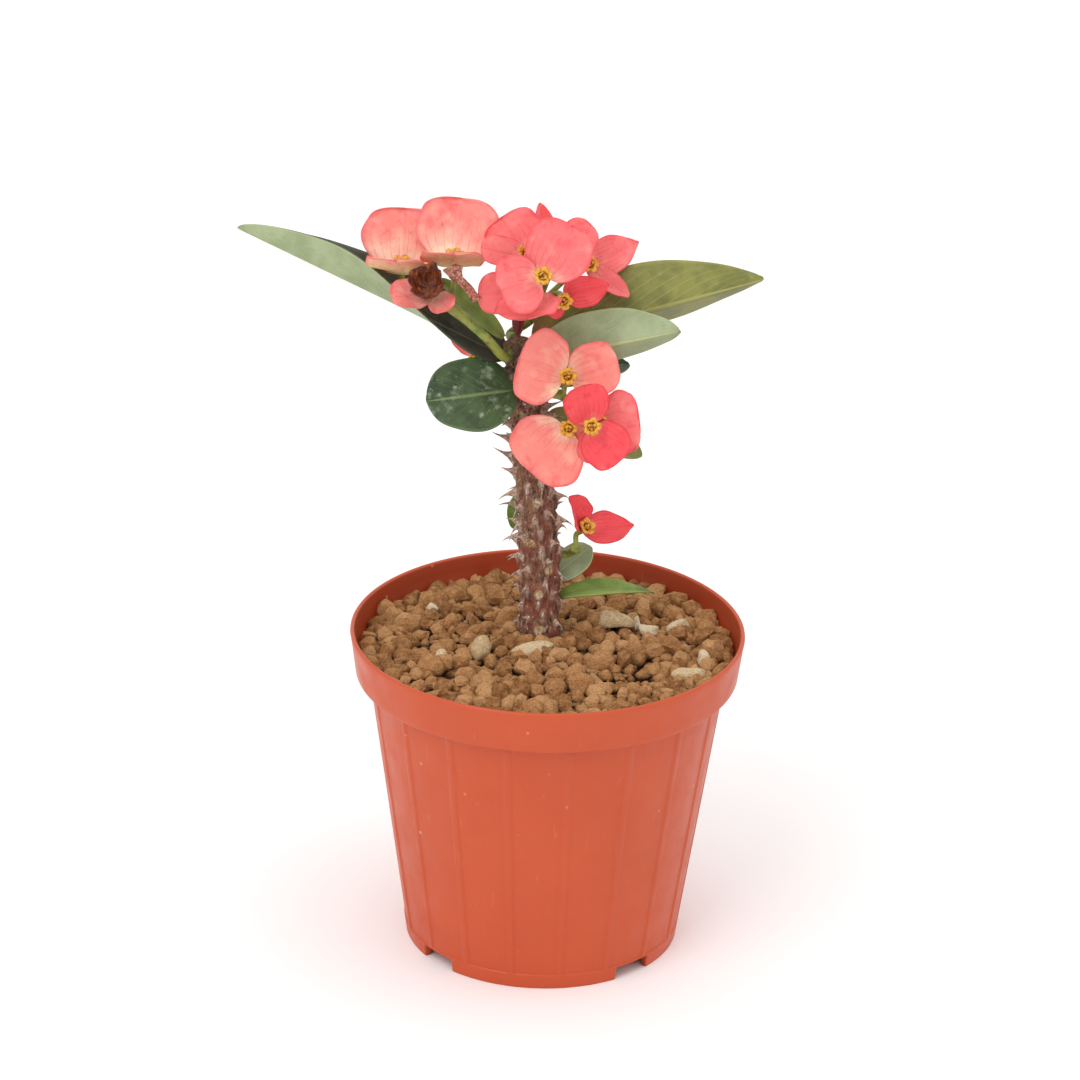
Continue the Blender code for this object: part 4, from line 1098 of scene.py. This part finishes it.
piece("dried_cup", closed_round("dried_cup", set_down(dried_lattice(), stands["left_dried"])), dried_skin(),
      slot="flower_cup", stands_for=["cup_left_dried"])
shred_thickness = 0.4 * mm
shred = blade(10 * mm, 9 * mm, 3.0 * mm, 0.5, 0.5, 50, 70, 120, 0.3, 0.10, (60, 41))
shred_stand = Matrix.Translation(Vector((-27.4, -12.5, 223.0)) * mm) @ turned_to(20, 80, 200)
sheet("shrivelled_bract", shred, shred_stand, shred_thickness, shrivelled_skin(), slot="bract")


# ---------------------------------------------------------------- stalks
# Smooth green stalks, tinged brown. Each leaves the side of the stem, bends up, swells where it forks and
# carries each flower on a thinner stalk of its own.

stalk_radius = 1.5 * mm


def through(knots, steps):
    """A Catmull-Rom curve: between two knots, a cubic whose slope at each is half the step between its
    neighbours."""
    knots = np.array([2 * knots[0] - knots[1], *knots, 2 * knots[-1] - knots[-2]])
    a, b, c, d = (knots[i:len(knots) - 3 + i, None, :] for i in range(4))
    t = (np.arange(steps) / steps)[None, :, None]
    path = (2 * b + (c - a) * t + (2 * a - 5 * b + 4 * c - d) * t ** 2 + (3 * b - a - 3 * c + d) * t ** 3) / 2
    return np.concatenate([path.reshape(-1, 3), knots[-2][None]])


def rod(path, radii, sides=20):
    """A circle carried along a path, square to it, with a point at each end to close it."""
    way = np.gradient(path, axis=0)
    way /= np.linalg.norm(way, axis=1)[:, None]
    beside = np.cross(way, np.array([0.31, 0.92, 0.24]))
    beside /= np.linalg.norm(beside, axis=1)[:, None]
    above = np.cross(way, beside)
    turn = np.linspace(0, math.tau, sides + 1)[None, :-1, None]
    ring = path[:, None] + radii[:, None,
                                 None] * (np.cos(turn) * beside[:, None] + np.sin(turn) * above[:, None])
    ends = [np.repeat(path[i][None, None], sides, axis=1) for i in (0, -1)]
    return np.concatenate([ends[0], ring, ends[1]])


def joined(name, lattices):
    """One mesh from several closed rods."""
    shape = bmesh.new()
    for lattice in lattices:
        part = solid_skin(name, lattice, around=True, weld=True)
        shape.from_mesh(part)
        bpy.data.meshes.remove(part)
    mesh = bpy.data.meshes.new(name)
    shape.to_mesh(mesh)
    shape.free()
    return mesh


def pedicel(fork, stand):
    """A cubic curve from the fork that comes into line with the flower, then a straight end under it."""
    end, way = np.array(stand.translation), np.array(stand.to_3x3())[:, 2]
    stop = end - way * 3.6 * mm
    pull = np.linalg.norm(stop - fork) * 0.35
    first = fork + (stop - fork) / np.linalg.norm(stop - fork) * pull
    t = np.linspace(0, 1, 18)[:, None]
    second = stop - way * pull
    curve = fork * (1 - t) ** 3 + first * 3 * t * (1 - t) ** 2 + second * 3 * t ** 2 * (1 - t) + stop * t ** 3
    return np.concatenate([curve, stop + (end - stop) * np.linspace(0.2, 1, 5)[:, None]])


def stalk_skin():
    """Yellow-green, tinged with brown in patches."""
    made, tree, where = finish("stalk_skin")
    tint = cloud(tree, where, 5 * mm, 4.0)
    colour = over(tree, paint(96, 112, 44), paint(142, 150, 66), tint, 0.35, 0.6)
    colour = over(tree, colour, paint(112, 72, 44), cloud(tree, where, 3 * mm, 4.0), 0.52, 0.66, 0.7)
    return rough(made, colour, 0.45, cloud(tree, where, 0.8 * mm), 0.12 * mm)


stalk_green = stalk_skin()


def stalk(name, up, azimuth, knots, flowers):
    """A stalk from the stem through its knots, swollen at the last, and a thin one from there to each
    flower."""
    route = [on_stem(up, azimuth, -1.0 * mm), on_stem(up, azimuth, 2 * stalk_radius)]
    route += [stem_axis(up) + np.array(knot) * mm for knot in knots]
    path = through(route, 10)
    share = np.linspace(0, 1, len(path))
    at_stem, at_fork = np.exp(-(share / 0.12) ** 2), np.exp(-((1 - share) / 0.10) ** 2)
    girth = stalk_radius * (0.92 + 0.18 * at_stem + 0.28 * at_fork)
    tip = path[-1] + (path[-1] - path[-2]) * 0.6
    lattices = [rod(np.concatenate([path, tip[None]]), np.append(girth, girth[-1] * 0.7))]
    for stand in flowers.values():
        thin = pedicel(path[-1], stand)
        along = np.linspace(0, 1, len(thin))
        lattices.append(rod(thin, pedicel_radius * (0.9 + 0.35 * np.exp(-((1 - along) / 0.12) ** 2))))
    piece(name + "_stem", joined(name + "_stem", lattices), stalk_green, slot="stalk", stands_for=[name])


stalk("peduncle_left", left_up, 232, [(-10.9, -10, 8.5), (-20.9, -9, 17)], left)
stalk("peduncle_top", top_up, 110, [(3.5, 6, 5.1), (5.5, 3, 11.1)], top)
stalk("peduncle_front", front_up, -45, [(11.4, -9, 0.7)], front)
stalk("peduncle_back", back_up, 130, [(-9.4, 10, 0.5)], back)
stalk("peduncle_low", low_up, 10, [(11.2, -3, 3.9)], low)
stub_up = below_tip(12.6)
stub = through([on_stem(stub_up, 165, -0.5 * mm), on_stem(stub_up, 165, 3 * mm),
                on_stem(below_tip(7.8), 168, 6 * mm)], 8)
piece("cut_stub_end", joined("cut_stub_end", [rod(stub, np.full(len(stub), 1.2 * mm))]), stem_bark,
      slot="bark",
      stands_for=["cut_stub"])
